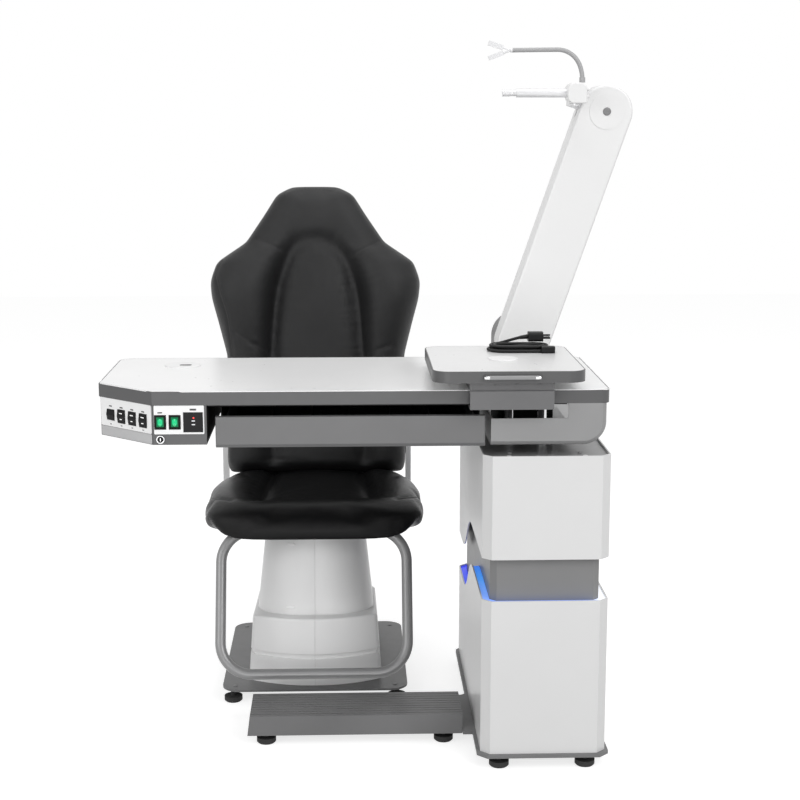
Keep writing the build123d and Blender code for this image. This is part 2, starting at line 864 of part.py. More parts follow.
# White switch panels on the front and on the slanted face
panel_mid = (panel_bottom + table_underside) / 2
panel_height = table_underside - panel_bottom
panel_right = box_right - panel_end_margin
front_panel_left = box_corner + panel_end_margin / 2
with BuildPart() as switch_panels:
    with BuildSketch(column_front.offset(-box_setback)):
        with Locations(((front_panel_left + panel_right) / 2, panel_mid)):
            RectangleRounded(panel_right - front_panel_left, panel_height, panel_end_margin / 2)
        for x in power_rocker_x:
            with Locations((x, switch_level)):
                Rectangle(power_rocker_width, power_rocker_height, mode=Mode.SUBTRACT)
        with Locations((touch_x, switch_level)):
            Rectangle(touch_width, touch_height, mode=Mode.SUBTRACT)
    extrude(amount=panel_thickness)
    with BuildSketch(side_face.offset(-box_setback)):
        with Locations((-slope_length / 2, panel_mid)):
            RectangleRounded(slope_length - 2 * panel_end_margin, panel_height, panel_end_margin / 2)
        for x, height in zip(side_rockers, side_heights):
            with Locations((x, switch_level)):
                Rectangle(side_rocker_width, height, mode=Mode.SUBTRACT)
    extrude(amount=panel_thickness)
save(switch_panels.part, "switch_panels")

with BuildPart() as touch_panel:
    with BuildSketch(column_front.offset(-box_setback)):
        with Locations((touch_x, switch_level)):
            Rectangle(touch_width - 2 * slip, touch_height - 2 * slip)
    extrude(amount=touch_depth)
save(touch_panel.part, "touch_panel")


# Rocker switches, each a shallow V that tilts on a pin
def rocker(plane, x, width, height):
    """One rocker with its front edges drawn back, on a pin that reaches the pocket's sides."""
    half_width = width / 2 - free_play
    half_height = height / 2 - free_play
    with BuildPart() as key:
        with BuildSketch(Plane(plane.from_local_coords((x, switch_level, 0)), x_dir=plane.z_dir,
                               z_dir=plane.x_dir).offset(-half_width)):
            with BuildLine():
                Polyline((-rocker_depth, -half_height), (0, -half_height), (rocker_proud, 0),
                         (0, half_height), (-rocker_depth, half_height), close=True)
            make_face()
        extrude(amount=2 * half_width)
        with Locations(Plane(plane.from_local_coords((x, switch_level, -rocker_depth / 2)),
                             x_dir=plane.z_dir, z_dir=plane.x_dir)):
            Cylinder(rocker_pin_radius, width - 2 * clear)
    return key.part


for number, place in enumerate(switch_places[:2], 1):
    save(rocker(*place), f"power_rocker_{number}")
for number, place in enumerate(switch_places[2:], 1):
    save(rocker(*place), f"side_rocker_{number}")

# Key lock of the control box
with BuildPart() as key_lock:
    with BuildSketch(column_front.offset(-box_setback + clear)):
        with Locations((lock_x, lock_z)):
            Circle(lock_radius)
    extrude(amount=lock_collar)
    with BuildSketch(column_front.offset(-box_setback + clear)):
        with Locations((lock_x, lock_z)):
            Circle(lock_shank_radius)
    extrude(amount=-lock_shank)
    with BuildSketch(column_front.offset(-box_setback + clear + lock_collar)):
        with Locations((lock_x, lock_z)):
            Rectangle(lock_slot_width, lock_slot_length)
    extrude(amount=-lock_collar, mode=Mode.SUBTRACT)
save(key_lock.part, "key_lock")

# Drawer: front, tray with dividers, and the case with its channels
drawer_x_span = (drawer_left + drawer_inset, drawer_right - drawer_inset)
drawer_y_span = (drawer_front_thickness, drawer_front_thickness + drawer_depth)
drawer_floor = drawer_bottom + drawer_floor_gap
drawer_z_span = (drawer_floor, drawer_floor + drawer_side_height)
with BuildPart() as drawer_front:
    block(column_foot, (drawer_left, drawer_right), (0, drawer_front_thickness),
          (drawer_bottom, drawer_bottom + drawer_front_height))
    chamfer(drawer_front.edges().filter_by(Axis.X).group_by(Axis.Y)[0].sort_by(Axis.Z)[0],
            drawer_front_chamfer)
    fillet(drawer_front.edges().filter_by(Axis.Z).group_by(Axis.Y)[0], edge_band)
save(drawer_front.part, "drawer_front")

divider_pitch = (drawer_x_span[1] - drawer_x_span[0]) / (drawer_dividers + 1)
with BuildPart() as drawer_tray:
    block(column_foot, drawer_x_span, drawer_y_span, drawer_z_span)
    block(column_foot, shrink(drawer_x_span, drawer_wall), shrink(drawer_y_span, drawer_wall),
          (drawer_floor + drawer_wall, drawer_z_span[1] + overrun), Mode.SUBTRACT)
    for i in range(drawer_dividers):
        middle = drawer_x_span[0] + (i + 1) * divider_pitch
        block(column_foot, (middle - drawer_wall / 2, middle + drawer_wall / 2),
              shrink(drawer_y_span, drawer_wall), (drawer_floor + drawer_wall, runner_level))
    for x0, x1 in ((drawer_x_span[0] - runner_width, drawer_x_span[0]),
                   (drawer_x_span[1], drawer_x_span[1] + runner_width)):
        block(column_foot, (x0, x1), (case_front, drawer_y_span[1]),
              (runner_level - runner_height / 2, runner_level + runner_height / 2))
save(drawer_tray.part, "drawer_tray")

channel_half = runner_height / 2 + clear + channel_lip
case_inner = drawer_x_span[1] + runner_width + clear
with BuildPart() as drawer_case:
    for side, base in ((-1, drawer_x_span[0] - runner_width - clear), (1, case_inner)):
        block(column_foot, sorted((base, base + side * case_wall)), (case_front, case_rear),
              (drawer_floor, table_underside))
        lip_span = sorted((base, base - side * (runner_width - 2 * clear)))
        for z in (runner_level - channel_half, runner_level + channel_half - channel_lip):
            block(column_foot, lip_span, (case_front, case_rear), (z, z + channel_lip))
    block(column_foot, (drawer_x_span[0] - runner_width - clear, case_inner), (case_rear - case_wall, case_rear),
          (drawer_floor, table_underside))
save(drawer_case.part, "drawer_case")

# Apron beside the drawer, a folded sheet open at the back
with BuildPart() as apron:
    with BuildSketch(column_front):
        with BuildLine():
            Polyline((apron_left, table_underside), (apron_left, apron_bottom),
                     (apron_right, apron_bottom), (apron_right, table_underside), close=True)
        make_face()
    extrude(amount=-apron_depth)
    corner = apron.edges().filter_by(Axis.Y).sort_by(Axis.Z)[:2].sort_by(Axis.X)[-1]
    fillet(corner, apron_corner)
    low_front = apron.edges().group_by(Axis.Y)[0].filter_by(Axis.X).sort_by(Axis.Z)[0]
    chamfer(low_front, apron_chamfer)
    fillet(apron.edges().filter_by(Axis.Z).group_by(Axis.X)[-1].sort_by(Axis.Y)[0], apron_edge)
    with BuildSketch(column_front.offset(-apron_wall - apron_chamfer)):
        with BuildLine():
            Line((apron_left + apron_wall, table_height), (apron_left + apron_wall, apron_bottom + apron_wall))
            Line((apron_left + apron_wall, apron_bottom + apron_wall),
                 (apron_right - apron_corner, apron_bottom + apron_wall))
            RadiusArc((apron_right - apron_corner, apron_bottom + apron_wall),
                      (apron_right - apron_wall, apron_bottom + apron_corner), -(apron_corner - apron_wall))
            Polyline((apron_right - apron_wall, apron_bottom + apron_corner),
                     (apron_right - apron_wall, table_height), (apron_left + apron_wall, table_height))
        make_face()
    extrude(amount=-apron_depth, mode=Mode.SUBTRACT)
    block(column_foot, (apron_left + apron_wall, apron_right - apron_edge), (apron_wall, apron_depth),
          (apron_bottom + apron_corner, table_height), Mode.SUBTRACT)
    block(column_foot, (apron_left - overrun, apron_upstand_left), (-overrun, apron_depth + overrun),
          (apron_strip_top, table_height), Mode.SUBTRACT)
    block(column_foot, (apron_right - apron_corner, apron_right + overrun), (apron_side_depth, apron_depth + overrun),
          (apron_bottom - overrun, table_height), Mode.SUBTRACT)
    block(column_foot, (support_x_span[0] - apron_cutout_margin, support_x_span[1] + apron_cutout_margin),
          (post_y - post_radius - apron_cutout_margin, support_y_span[1] + apron_cutout_margin),
          (apron_bottom - overrun, apron_bottom + 2 * apron_wall), Mode.SUBTRACT)
save(apron.part, "apron")

# Refractor arm: a frame that leans with the arm, its origin on the lower pivot at the front face
lean = radians(arm_lean)
arm_dir = Vector(sin(lean), 0, cos(lean))
lower_pivot = column_foot + Vector(pivot_x, 0, pivot_height)
upper_pivot = lower_pivot + arm_dir * arm_length
arm_plane = Plane(lower_pivot + Vector(0, arm_front, 0), x_dir=(cos(lean), 0, -sin(lean)), z_dir=(0, -1, 0))
head_plane = Plane(upper_pivot + Vector(0, arm_front, 0), x_dir=(1, 0, 0), z_dir=(0, -1, 0))
foot_plane = Plane(lower_pivot + Vector(0, arm_front, 0), x_dir=(1, 0, 0), z_dir=(0, -1, 0))
arm_half = arm_depth / 2


def disc(plane, x, y, layer, length, radius, mode=Mode.ADD):
    """A round boss or bore that starts at a depth behind a plane and runs back from it."""
    with BuildSketch(plane.offset(-layer)) as face:
        with Locations((x, y)):
            Circle(radius)
    extrude(face.sketch, amount=-length, mode=mode)


def link(layer, length, radius, mode=Mode.ADD):
    """The arm's rounded outline, at a depth behind its front face."""
    with BuildSketch(arm_plane.offset(-layer)) as face:
        with Locations((0, arm_length / 2)):
            SlotCenterToCenter(arm_length, 2 * radius, rotation=90)
    extrude(face.sketch, amount=-length, mode=mode)


def carrier_slot(layer, length):
    """Opens the rim of a cover where the head's carrier comes out."""
    with BuildSketch(arm_plane.offset(-layer)) as face:
        with BuildLine():
            Polyline((-2 * arm_radius, arm_length - 2 * carrier_half_height),
                     (carrier_half_height / 2, arm_length - 2 * carrier_half_height),
                     (carrier_half_height / 2, arm_length + 2 * arm_radius),
                     (-2 * arm_radius, arm_length + 2 * arm_radius), close=True)
        make_face()
    extrude(face.sketch, amount=-length, mode=Mode.SUBTRACT)


slot_front = carrier_layer - carrier_slot_play
slot_rear = carrier_layer + carrier_thickness + carrier_slot_play
with BuildPart() as arm_front_cover:
    link(0, arm_half, arm_radius)
    fillet(arm_front_cover.edges().group_by(Axis.Y)[0], arm_edge_round)
    link(arm_wall, arm_half, arm_radius - arm_wall, Mode.SUBTRACT)
    for y in (0, arm_length):
        disc(arm_plane, 0, y, -arm_disc_rise, arm_disc_rise + arm_wall, arm_disc_radius)
    disc(arm_plane, 0, arm_length, -overrun, 2 * overrun, pin_cap_radius + pin_cap_clearance, Mode.SUBTRACT)
    carrier_slot(slot_front, arm_half - slot_front)
save(arm_front_cover.part, "arm_front_cover")

boss_hole = pedestal_boss_radius + pedestal_boss_play
with BuildPart() as arm_rear_cover:
    link(arm_half, arm_half, arm_radius)
    fillet(arm_rear_cover.edges().group_by(Axis.Y)[-1], arm_edge_round)
    link(arm_half, arm_half - arm_wall, arm_radius - arm_wall, Mode.SUBTRACT)
    disc(arm_plane, 0, 0, arm_depth - 2 * arm_wall, 3 * arm_wall, boss_hole, Mode.SUBTRACT)
    disc(arm_plane, 0, arm_length, arm_depth, arm_disc_rise, arm_disc_radius)
    carrier_slot(arm_half, slot_rear - arm_half)
save(arm_rear_cover.part, "arm_rear_cover")

# Inner beam of the arm, with a bearing hub below and the head's pin above
with BuildPart() as arm_bar:
    with BuildSketch(arm_plane.offset(-bar_front_gap)) as web:
        with Locations((0, arm_length / 2)):
            Rectangle(bar_width, arm_length)
    extrude(web.sketch, amount=-bar_thickness)
    for y in (0, arm_length):
        disc(arm_plane, 0, y, arm_wall, hub_length, hub_radius)
    disc(arm_plane, 0, 0, arm_wall - overrun, hub_length + 2 * overrun, shaft_radius + slip, Mode.SUBTRACT)
    disc(arm_plane, 0, arm_length, -arm_disc_rise - slip, carrier_layer + carrier_thickness, pin_cap_radius)
save(arm_bar.part, "arm_bar")

# Tie bar beside the beam, which keeps the head level
with BuildPart() as arm_tie_bar:
    tie_plane = Plane(arm_plane.origin + Vector(tie_offset_x, 0, tie_offset_z), x_dir=arm_plane.x_dir,
                      z_dir=arm_plane.z_dir)
    with BuildSketch(tie_plane.offset(-tie_layer)) as web:
        with Locations((0, arm_length / 2)):
            SlotCenterToCenter(arm_length, tie_width, rotation=90)
    extrude(web.sketch, amount=-tie_thickness)
    disc(tie_plane, 0, 0, tie_layer - overrun, tie_thickness + 2 * overrun, tie_pin_radius + slip, Mode.SUBTRACT)
    disc(tie_plane, 0, arm_length, tie_layer - overrun, tie_thickness + 2 * overrun,
         tie_pin_radius + clear, Mode.SUBTRACT)
save(arm_tie_bar.part, "arm_tie_bar")

# Pedestal behind the arm, with the shaft and the tie bar's pin
pedestal_front = arm_depth + pedestal_gap
boss_front = tie_layer + tie_thickness + clear
with BuildPart() as arm_pedestal:
    with BuildSketch(foot_plane.offset(-pedestal_front)) as side:
        Circle(pedestal_width / 2)
        with Locations((0, (top_plate_top - pivot_height) / 2)):
            Rectangle(pedestal_width, pivot_height - top_plate_top)
    extrude(side.sketch, amount=-pedestal_depth)
    fillet(arm_pedestal.edges().group_by(Axis.Y)[-1].sort_by(Axis.Z)[1:], arm_edge_round)
    block(column_foot, (pivot_x - pedestal_width / 2 - pedestal_flange, pivot_x + pedestal_width / 2 + pedestal_flange),
          (arm_front + pedestal_front - pedestal_flange, arm_front + pedestal_front + pedestal_depth),
          (top_plate_top, top_plate_top + pedestal_flange))
    block(column_foot, shrink((pivot_x - pedestal_width / 2, pivot_x + pedestal_width / 2), pedestal_wall),
          shrink((arm_front + pedestal_front, arm_front + pedestal_front + pedestal_depth), pedestal_wall),
          (top_plate_top - overrun, pivot_height), Mode.SUBTRACT)
    disc(foot_plane, 0, 0, boss_front, pedestal_front - boss_front, pedestal_boss_radius)
    disc(foot_plane, 0, 0, arm_wall + clear, boss_front, shaft_radius)
    disc(foot_plane, tie_offset_x, tie_offset_z, tie_layer - clear, boss_front - tie_layer + clear, tie_pin_radius)
save(arm_pedestal.part, "arm_pedestal")

# Carrier that stays level on the arm's upper pin and holds the lens arm's post
block_centre = column_foot + Vector(block_x, block_y, block_z)
neck_front = block_y + sqrt(block_width ** 2 + block_depth ** 2) / 2 + neck_gap
carrier_front = arm_front + carrier_layer
block_bottom = block_z - block_height / 2
lug_span = (block_bottom - clear - lug_thickness, block_bottom - clear)
with BuildPart() as head_carrier:
    disc(head_plane, 0, 0, carrier_layer, carrier_thickness, carrier_hub_radius)
    with BuildSketch(head_plane.offset(-carrier_layer)) as plate:
        with BuildLine():
            Polyline((0, -carrier_half_height), (0, carrier_half_height),
                     (-block_reach, block_rise + carrier_half_height),
                     (-block_reach - lug_width / 2, block_rise + carrier_half_height),
                     (-block_reach - lug_width / 2, lug_span[0] - upper_pivot.Z), close=True)
        make_face()
    extrude(plate.sketch, amount=-carrier_thickness)
    block(column_foot, (block_x - lug_width / 2, block_x + lug_width / 4),
          (neck_front, carrier_front + carrier_thickness), (lug_span[0], block_z + carrier_half_height))
    block(column_foot, (block_x - lug_width / 2, block_x + lug_width / 4), (block_y, neck_front + slip), lug_span)
    rod(column_foot, block_x, block_y, lug_span, lug_width / 2)
    rod(column_foot, block_x, block_y, (lug_span[0], lug_span[1] + post_height), swivel_radius)
    disc(head_plane, 0, 0, carrier_layer - overrun, carrier_thickness + 2 * overrun, pin_cap_radius + slip,
         Mode.SUBTRACT)
    disc(head_plane, tie_offset_x, tie_offset_z, carrier_layer, carrier_thickness, tie_width / 2)
    disc(head_plane, tie_offset_x, tie_offset_z, carrier_layer, tie_layer + tie_thickness - carrier_layer,
         tie_pin_radius)
save(head_carrier.part, "head_carrier")

# Lens arm: head block, tube and its tip
with BuildPart() as head_block:
    with Locations(block_centre):
        Box(block_width, block_depth, block_height)
    upright = head_block.edges().filter_by(Axis.Y)
    fillet(upright.sort_by(Axis.Z)[-2:] + [upright.sort_by(Axis.Z)[:2].sort_by(Axis.X)[0]], block_round)
    fillet(head_block.edges().group_by(Axis.Y)[0], edge_band)
    rod(column_foot, block_x, block_y, (block_bottom - overrun, lug_span[1] + post_height + clear),
        swivel_radius + slip, Mode.SUBTRACT)
    with Locations(Plane(block_centre - Vector(block_width / 2, 0, 0), x_dir=(0, 1, 0), z_dir=(-1, 0, 0))):
        Cylinder(tube_radius + slip, 2 * tube_bite, mode=Mode.SUBTRACT)
    for side in (-1, 1):
        spot = block_centre + Vector(block_width / 2, 0, side * knob_spacing / 2)
        with Locations(Plane(spot, x_dir=(0, 1, 0), z_dir=(1, 0, 0))):
            Cylinder(knob_radius, knob_length, align=(Align.CENTER, Align.CENTER, Align.MIN))
save(head_block.part, "head_block")

tube_root = block_x - block_width / 2 + tube_bite
tube_steps = ((tube_root, tube_end, tube_radius), (tube_end, tube_neck_end, tube_neck_radius),
              (tube_neck_end, tube_tip_end, tube_tip_radius))
with BuildPart() as lens_tube:
    for start, end, radius in tube_steps:
        with Locations(Plane(column_foot + Vector(start, block_y, block_z), x_dir=(0, 1, 0), z_dir=(-1, 0, 0))):
            Cylinder(radius, start - end, align=(Align.CENTER, Align.CENTER, Align.MIN))
    with Locations(Plane(column_foot + Vector((tube_end + tube_neck_end) / 2, block_y, block_z),
                         x_dir=(1, 0, 0), z_dir=(0, -1, 0))):
        Cylinder(tube_hole_radius, 2 * tube_radius, mode=Mode.SUBTRACT)
save(lens_tube.part, "lens_tube")

# Near-vision lamp: a gooseneck with two small heads
lamp_foot = block_centre + Vector(lamp_shift, 0, block_height / 2 + clear)
lamp_path = [block_centre + Vector(across, 0, up) for across, up in gooseneck_points]
lamp_end = lamp_path[-1]
with BuildPart() as lamp_gooseneck:
    with Locations(lamp_foot):
        Cylinder(lamp_base_radius, lamp_base_height, align=(Align.CENTER, Align.CENTER, Align.MIN))
    with BuildLine() as spine:
        bend = Line(lamp_foot, lamp_foot + Vector(0, 0, lamp_base_height / 2))
        for point in lamp_path:
            bend = TangentArc(bend @ 1, point, tangent=bend % 1)
    with BuildSketch(Plane(lamp_foot, z_dir=(0, 0, 1))):
        Circle(lamp_tube_radius)
    sweep()
    lamp_out = bend % 1
save(lamp_gooseneck.part, "lamp_gooseneck")

lamp_tip = lamp_end + lamp_out * ferrule_length
with BuildPart() as lamp_heads:
    with Locations(Plane(lamp_end + lamp_out * slip, z_dir=lamp_out)):
        Cylinder(lamp_tube_radius, ferrule_length, align=(Align.CENTER, Align.CENTER, Align.MIN))
    for side in (-1, 1):
        aim = (lamp_out * prong_length + Vector(0, 0, side * prong_spread)).normalized()
        with Locations(Plane(lamp_tip - lamp_out * prong_radius, z_dir=aim)):
            Cylinder(prong_radius, prong_length, align=(Align.CENTER, Align.CENTER, Align.MIN))
        with Locations(Plane(lamp_tip + aim * (prong_length - lamp_head_length / 2), x_dir=(0, 1, 0), z_dir=aim)):
            Box(lamp_head_width, lamp_head_height, lamp_head_length)
save(lamp_heads.part, "lamp_heads")

# Chair base plate
chair_plate_top = chair_foot_height + chair_plate_thickness
with BuildPart() as chair_base_plate:
    with BuildSketch(chair_plan.offset(chair_foot_height)):
        RectangleRounded(chair_plate_width, chair_plate_depth, chair_plate_corner)
    extrude(amount=chair_plate_thickness)
save(chair_base_plate.part, "chair_base_plate")


# Chair cover: a bowed skirt with a ledge and a tapered tower, in two halves
def tapered(levels, corner, mode=Mode.ADD):
    """A loft through two rounded rectangles, given as height, width and depth."""
    faces = []
    for height, width, depth in levels:
        with BuildSketch(chair_plan.offset(height)) as plan:
            RectangleRounded(width, depth, corner)
        faces.append(plan.sketch.face())
    loft(faces, mode=mode)


def bowed(height, width, depth, corner, tilt=0):
    """A plan with straight sides and bowed ends, which may fall to the rear."""
    side_y = depth / 2 - cover_bow
    lean = radians(tilt)
    with BuildSketch(Plane(chair_foot + Vector(0, 0, height), x_dir=(1, 0, 0),
                           z_dir=(0, sin(lean), cos(lean)))) as plan:
        with BuildLine():
            ThreePointArc((-width / 2, -side_y), (0, -depth / 2), (width / 2, -side_y))
            Line((width / 2, -side_y), (width / 2, side_y))
            ThreePointArc((width / 2, side_y), (0, depth / 2), (-width / 2, side_y))
            Line((-width / 2, side_y), (-width / 2, -side_y))
        make_face()
        fillet(plan.vertices(), corner)
    return plan.sketch.face()


def narrowed(levels, by):
    return [(height, width - 2 * by, depth - 2 * by) for height, width, depth in levels]


skirt_levels = [(chair_plate_top, cover_width, cover_depth), (cover_shoulder, cover_top_width, cover_top_depth)]
tower_levels = [(tower_bottom, tower_width, tower_depth), (tower_top, tower_top_width, tower_top_depth)]
ledge_rear = cover_shoulder - cover_top_depth / 2 * sin(radians(cover_ledge_tilt))
cavity_levels = [skirt_levels[0], (ledge_rear - cover_wall, cover_top_width, cover_top_depth)]
groove_share = (cover_groove_bottom - chair_plate_top) / (cover_shoulder - chair_plate_top)
groove_width = cover_width + (cover_top_width - cover_width) * groove_share
groove_length = cover_depth + (cover_top_depth - cover_depth) * groove_share
with BuildPart() as chair_cover:
    loft([bowed(*skirt_levels[0], cover_corner), bowed(*skirt_levels[1], cover_corner, cover_ledge_tilt)])
    fillet(chair_cover.faces().sort_by(Axis.Z)[-1].edges(), cover_ledge_round)
    extrude(bowed(cover_groove_bottom, groove_width + cover_corner, groove_length + cover_corner, cover_corner),
            amount=cover_groove_height, mode=Mode.SUBTRACT)
    extrude(bowed(cover_groove_bottom, groove_width - 2 * cover_groove_depth,
                  groove_length - 2 * cover_groove_depth, cover_corner), amount=cover_groove_height)
    tapered(tower_levels, tower_corner)
    loft([bowed(*level, cover_corner - cover_wall) for level in narrowed(cavity_levels, cover_wall)],
         mode=Mode.SUBTRACT)
    tapered(narrowed(tower_levels, cover_wall), tower_corner - cover_wall, Mode.SUBTRACT)
for side, name in ((-1, "chair_cover_left"), (1, "chair_cover_right")):
    with BuildPart() as half:
        add(chair_cover.part)
        split(bisect_by=Plane(chair_foot + Vector(side * seam / 2, 0, 0), z_dir=(side, 0, 0)), keep=Keep.TOP)
    save(half.part, name)

# Chair lift: fixed tube, moving post with the carriage plate, and the inner shroud
carriage_top = tower_top + carriage_plate_thickness
with BuildPart() as chair_lift_outer:
    rod(chair_foot, 0, 0, (chair_plate_top, chair_tube_top), chair_tube_radius)
    rod(chair_foot, 0, 0, (chair_plate_top, chair_tube_top + overrun), chair_tube_radius - chair_tube_wall,
        Mode.SUBTRACT)
save(chair_lift_outer.part, "chair_lift_outer")

shroud_width = tower_top_width - 2 * cover_wall - 2 * shroud_gap
shroud_depth = tower_top_depth - 2 * cover_wall - 2 * shroud_gap
shroud_corner = tower_corner - cover_wall - shroud_gap
with BuildPart() as chair_lift_post:
    rod(chair_foot, 0, 0, (chair_post_bottom, carriage_top), chair_tube_radius - chair_tube_wall - clear)
    with BuildSketch(chair_plan.offset(tower_top)) as plate:
        RectangleRounded(shroud_width, shroud_depth, shroud_corner)
    extrude(plate.sketch, amount=carriage_plate_thickness)
save(chair_lift_post.part, "chair_lift_post")

with BuildPart() as chair_inner_shroud:
    with BuildSketch(chair_plan.offset(shroud_bottom)) as ring:
        RectangleRounded(shroud_width, shroud_depth, shroud_corner)
        RectangleRounded(shroud_width - 2 * shroud_wall, shroud_depth - 2 * shroud_wall,
                         shroud_corner - shroud_wall, mode=Mode.SUBTRACT)
    extrude(ring.sketch, amount=tower_top - shroud_bottom)
save(chair_inner_shroud.part, "chair_inner_shroud")

# Seat pan on its turntable
turntable_bottom = carriage_top + clear
pan_bottom = tower_top + pan_rise + pan_thickness
pan_top = pan_bottom + pan_thickness
tongue_end = ring_top_y + ring_tube_radius + clear
with BuildPart() as seat_pan:
    with BuildSketch(chair_plan.offset(pan_bottom)) as plate:
        with Locations((0, pan_front + pan_depth / 2)):
            RectangleRounded(pan_width, pan_depth, pan_corner)
        with Locations((0, pan_front)):
            Rectangle(pan_width - 2 * pan_corner, 2 * (pan_front - tongue_end))
    extrude(plate.sketch, amount=pan_thickness)
    rod(chair_foot, 0, 0, (turntable_bottom, pan_bottom), turntable_radius)
save(seat_pan.part, "seat_pan")

# Footrest ring: one closed tube in a slanted plane, in front of the pan's tongue
ring_top_z = pan_bottom + pan_thickness / 2
ring_rise = ring_top_z - ring_bottom_z
ring_run = ring_top_y - ring_bottom_y
ring_height = sqrt(ring_rise ** 2 + ring_run ** 2)
ring_middle = chair_foot + Vector(0, (ring_top_y + ring_bottom_y) / 2, (ring_top_z + ring_bottom_z) / 2)
ring_plane = Plane(ring_middle, x_dir=(1, 0, 0), z_dir=(0, -ring_rise, ring_run))
with BuildPart() as footrest_ring:
    with BuildLine(ring_plane) as loop:
        half_width = ring_width / 2
        half_height = ring_height / 2
        straight_x = half_width - ring_corner
        straight_y = half_height - ring_corner
        bottom = Line((-straight_x, -half_height), (straight_x, -half_height))
        JernArc((straight_x, -half_height), (1, 0), ring_corner, 90)
        Line((half_width, -straight_y), (half_width, straight_y))
        JernArc((half_width, straight_y), (0, 1), ring_corner, 90)
        Line((straight_x, half_height), (-straight_x, half_height))
        JernArc((-straight_x, half_height), (-1, 0), ring_corner, 90)
        Line((-half_width, straight_y), (-half_width, -straight_y))
        JernArc((-half_width, -straight_y), (0, -1), ring_corner, 90)
    with BuildSketch(Plane(loop.edges()[0] @ 0, z_dir=loop.edges()[0] % 0)):
        Circle(ring_tube_radius)
    sweep()
save(footrest_ring.part, "footrest_ring")


# Cushions, lofted through sections of lines and arcs with two sewn channels
def cushion(plane, rows, length, half_width, thickness, bulge):
    """A crowned cushion whose sections stand behind a plane, with its height along the plane's y."""
    faces = []
    for along, width, low, seam_high, bolster, channel, middle, channel_place in rows:
        half = width * half_width
        edge = half - bulge
        base = low * thickness
        side = seam_high * thickness
        sewn_x = channel_place * half_width
        sewn = channel * thickness
        with BuildSketch(plane.offset(-along * length)) as section:
            with BuildLine():
                Line((-edge, base), (edge, base))
                ThreePointArc((edge, base), (half, (base + side) / 2), (edge, side))
                ThreePointArc((edge, side), ((edge + sewn_x) / 2, bolster * thickness), (sewn_x, sewn))
                ThreePointArc((sewn_x, sewn), (0, middle * thickness), (-sewn_x, sewn))
                ThreePointArc((-sewn_x, sewn), (-(edge + sewn_x) / 2, bolster * thickness), (-edge, side))
                ThreePointArc((-edge, side), (-half, (base + side) / 2), (-edge, base))
            make_face()
        faces.append(section.sketch.face())
    with BuildPart() as pad:
        loft(faces, ruled=True)
    return pad.part


cushion_bottom = pan_top + clear
seat_frame = Plane(chair_foot + Vector(0, seat_front, cushion_bottom), x_dir=(1, 0, 0), z_dir=(0, -1, 0))
save(cushion(seat_frame, seat_shares, seat_depth, seat_half_width, seat_top_height - cushion_bottom,
             seat_side_bulge), "seat_cushion")

tilt = radians(back_tilt)
back_forward = Vector(0, -cos(tilt), sin(tilt))
back_frame = Plane(chair_foot + Vector(0, back_front_y, back_lower_z) - back_forward * back_thickness,
                   x_dir=(1, 0, 0), z_dir=(0, -sin(tilt), -cos(tilt)))
save(cushion(back_frame, back_shares, back_height, back_half_width, back_thickness, back_side_bulge),
     "back_cushion")

# Back shell with the hinge ears
shell_faces = []
for along, width, *_ in back_shares:
    rise = shell_inset + along * (back_height - 2 * shell_inset) if along else -shell_drop
    with BuildSketch(back_frame.offset(-rise)) as section:
        with Locations((0, -shell_gap - shell_thickness / 2)):
            Rectangle(2 * (width * back_half_width - shell_inset), shell_thickness)
    shell_faces.append(section.sketch.face())
hinge_point = chair_foot + Vector(0, recline_y, recline_z)
ear_end = side_inner - clear
with BuildPart() as back_shell:
    loft(shell_faces, ruled=True)
    for side in (-1, 1):
        with Locations(Plane(hinge_point + Vector(side * ear_end, 0, 0), x_dir=(0, 1, 0), z_dir=(-side, 0, 0))):
            Cylinder(hinge_ear_radius, hinge_ear_length, align=(Align.CENTER, Align.CENTER, Align.MIN))
            Cylinder(hinge_pin_radius + slip, hinge_ear_length / 2, mode=Mode.SUBTRACT,
                     align=(Align.CENTER, Align.CENTER, Align.MIN))
save(back_shell.part, "back_shell")

# Side brackets from under the pan to the recline hinge
arm_half_width = side_arm_width / 2
foot_low = pan_bottom - side_foot_height
with BuildPart() as side_brackets:
    for side in (-1, 1):
        with BuildSketch(chair_side.offset(side * side_inner)) as web:
            with BuildLine():
                Polyline((side_foot_front, pan_bottom), (side_foot_front, foot_low),
                         (recline_y - arm_half_width, foot_low))
                JernArc((recline_y - arm_half_width, foot_low), (1, 0), side_arm_width, 90)
                Line((recline_y + arm_half_width, foot_low + side_arm_width),
                     (recline_y + arm_half_width, recline_z))
                JernArc((recline_y + arm_half_width, recline_z), (0, 1), arm_half_width, 180)
                Line((recline_y - arm_half_width, recline_z),
                     (recline_y - arm_half_width, pan_bottom + arm_half_width))
                JernArc((recline_y - arm_half_width, pan_bottom + arm_half_width), (0, -1),
                        arm_half_width, -90)
                Line((recline_y - side_arm_width, pan_bottom), (side_foot_front, pan_bottom))
            make_face()
        extrude(web.sketch, amount=side * side_thickness)
        block(chair_foot, sorted((side * (side_inner + side_thickness), side * (side_inner - side_foot_reach))),
              (side_foot_front, side_foot_front + side_foot_depth), (pan_bottom - side_foot_thickness, pan_bottom))
        with Locations(Plane(hinge_point + Vector(side * (side_inner + slip), 0, 0), x_dir=(0, 1, 0),
                             z_dir=(-side, 0, 0))):
            Cylinder(hinge_pin_radius, hinge_ear_length / 2 - clear, align=(Align.CENTER, Align.CENTER, Align.MIN))
save(side_brackets.part, "side_brackets")

# Mains lead, one unbroken tube in two layers of turns on the tray
low_z = tray_top + hank_rest + cord_radius
high_z = low_z + cord_layer
plug_z = high_z + plug_rise


def lead_point(x, across, z):
    return column_foot + Vector(x, hank_y + across, z)


def hank_end(side):
    return hank_right if side > 0 else hank_left


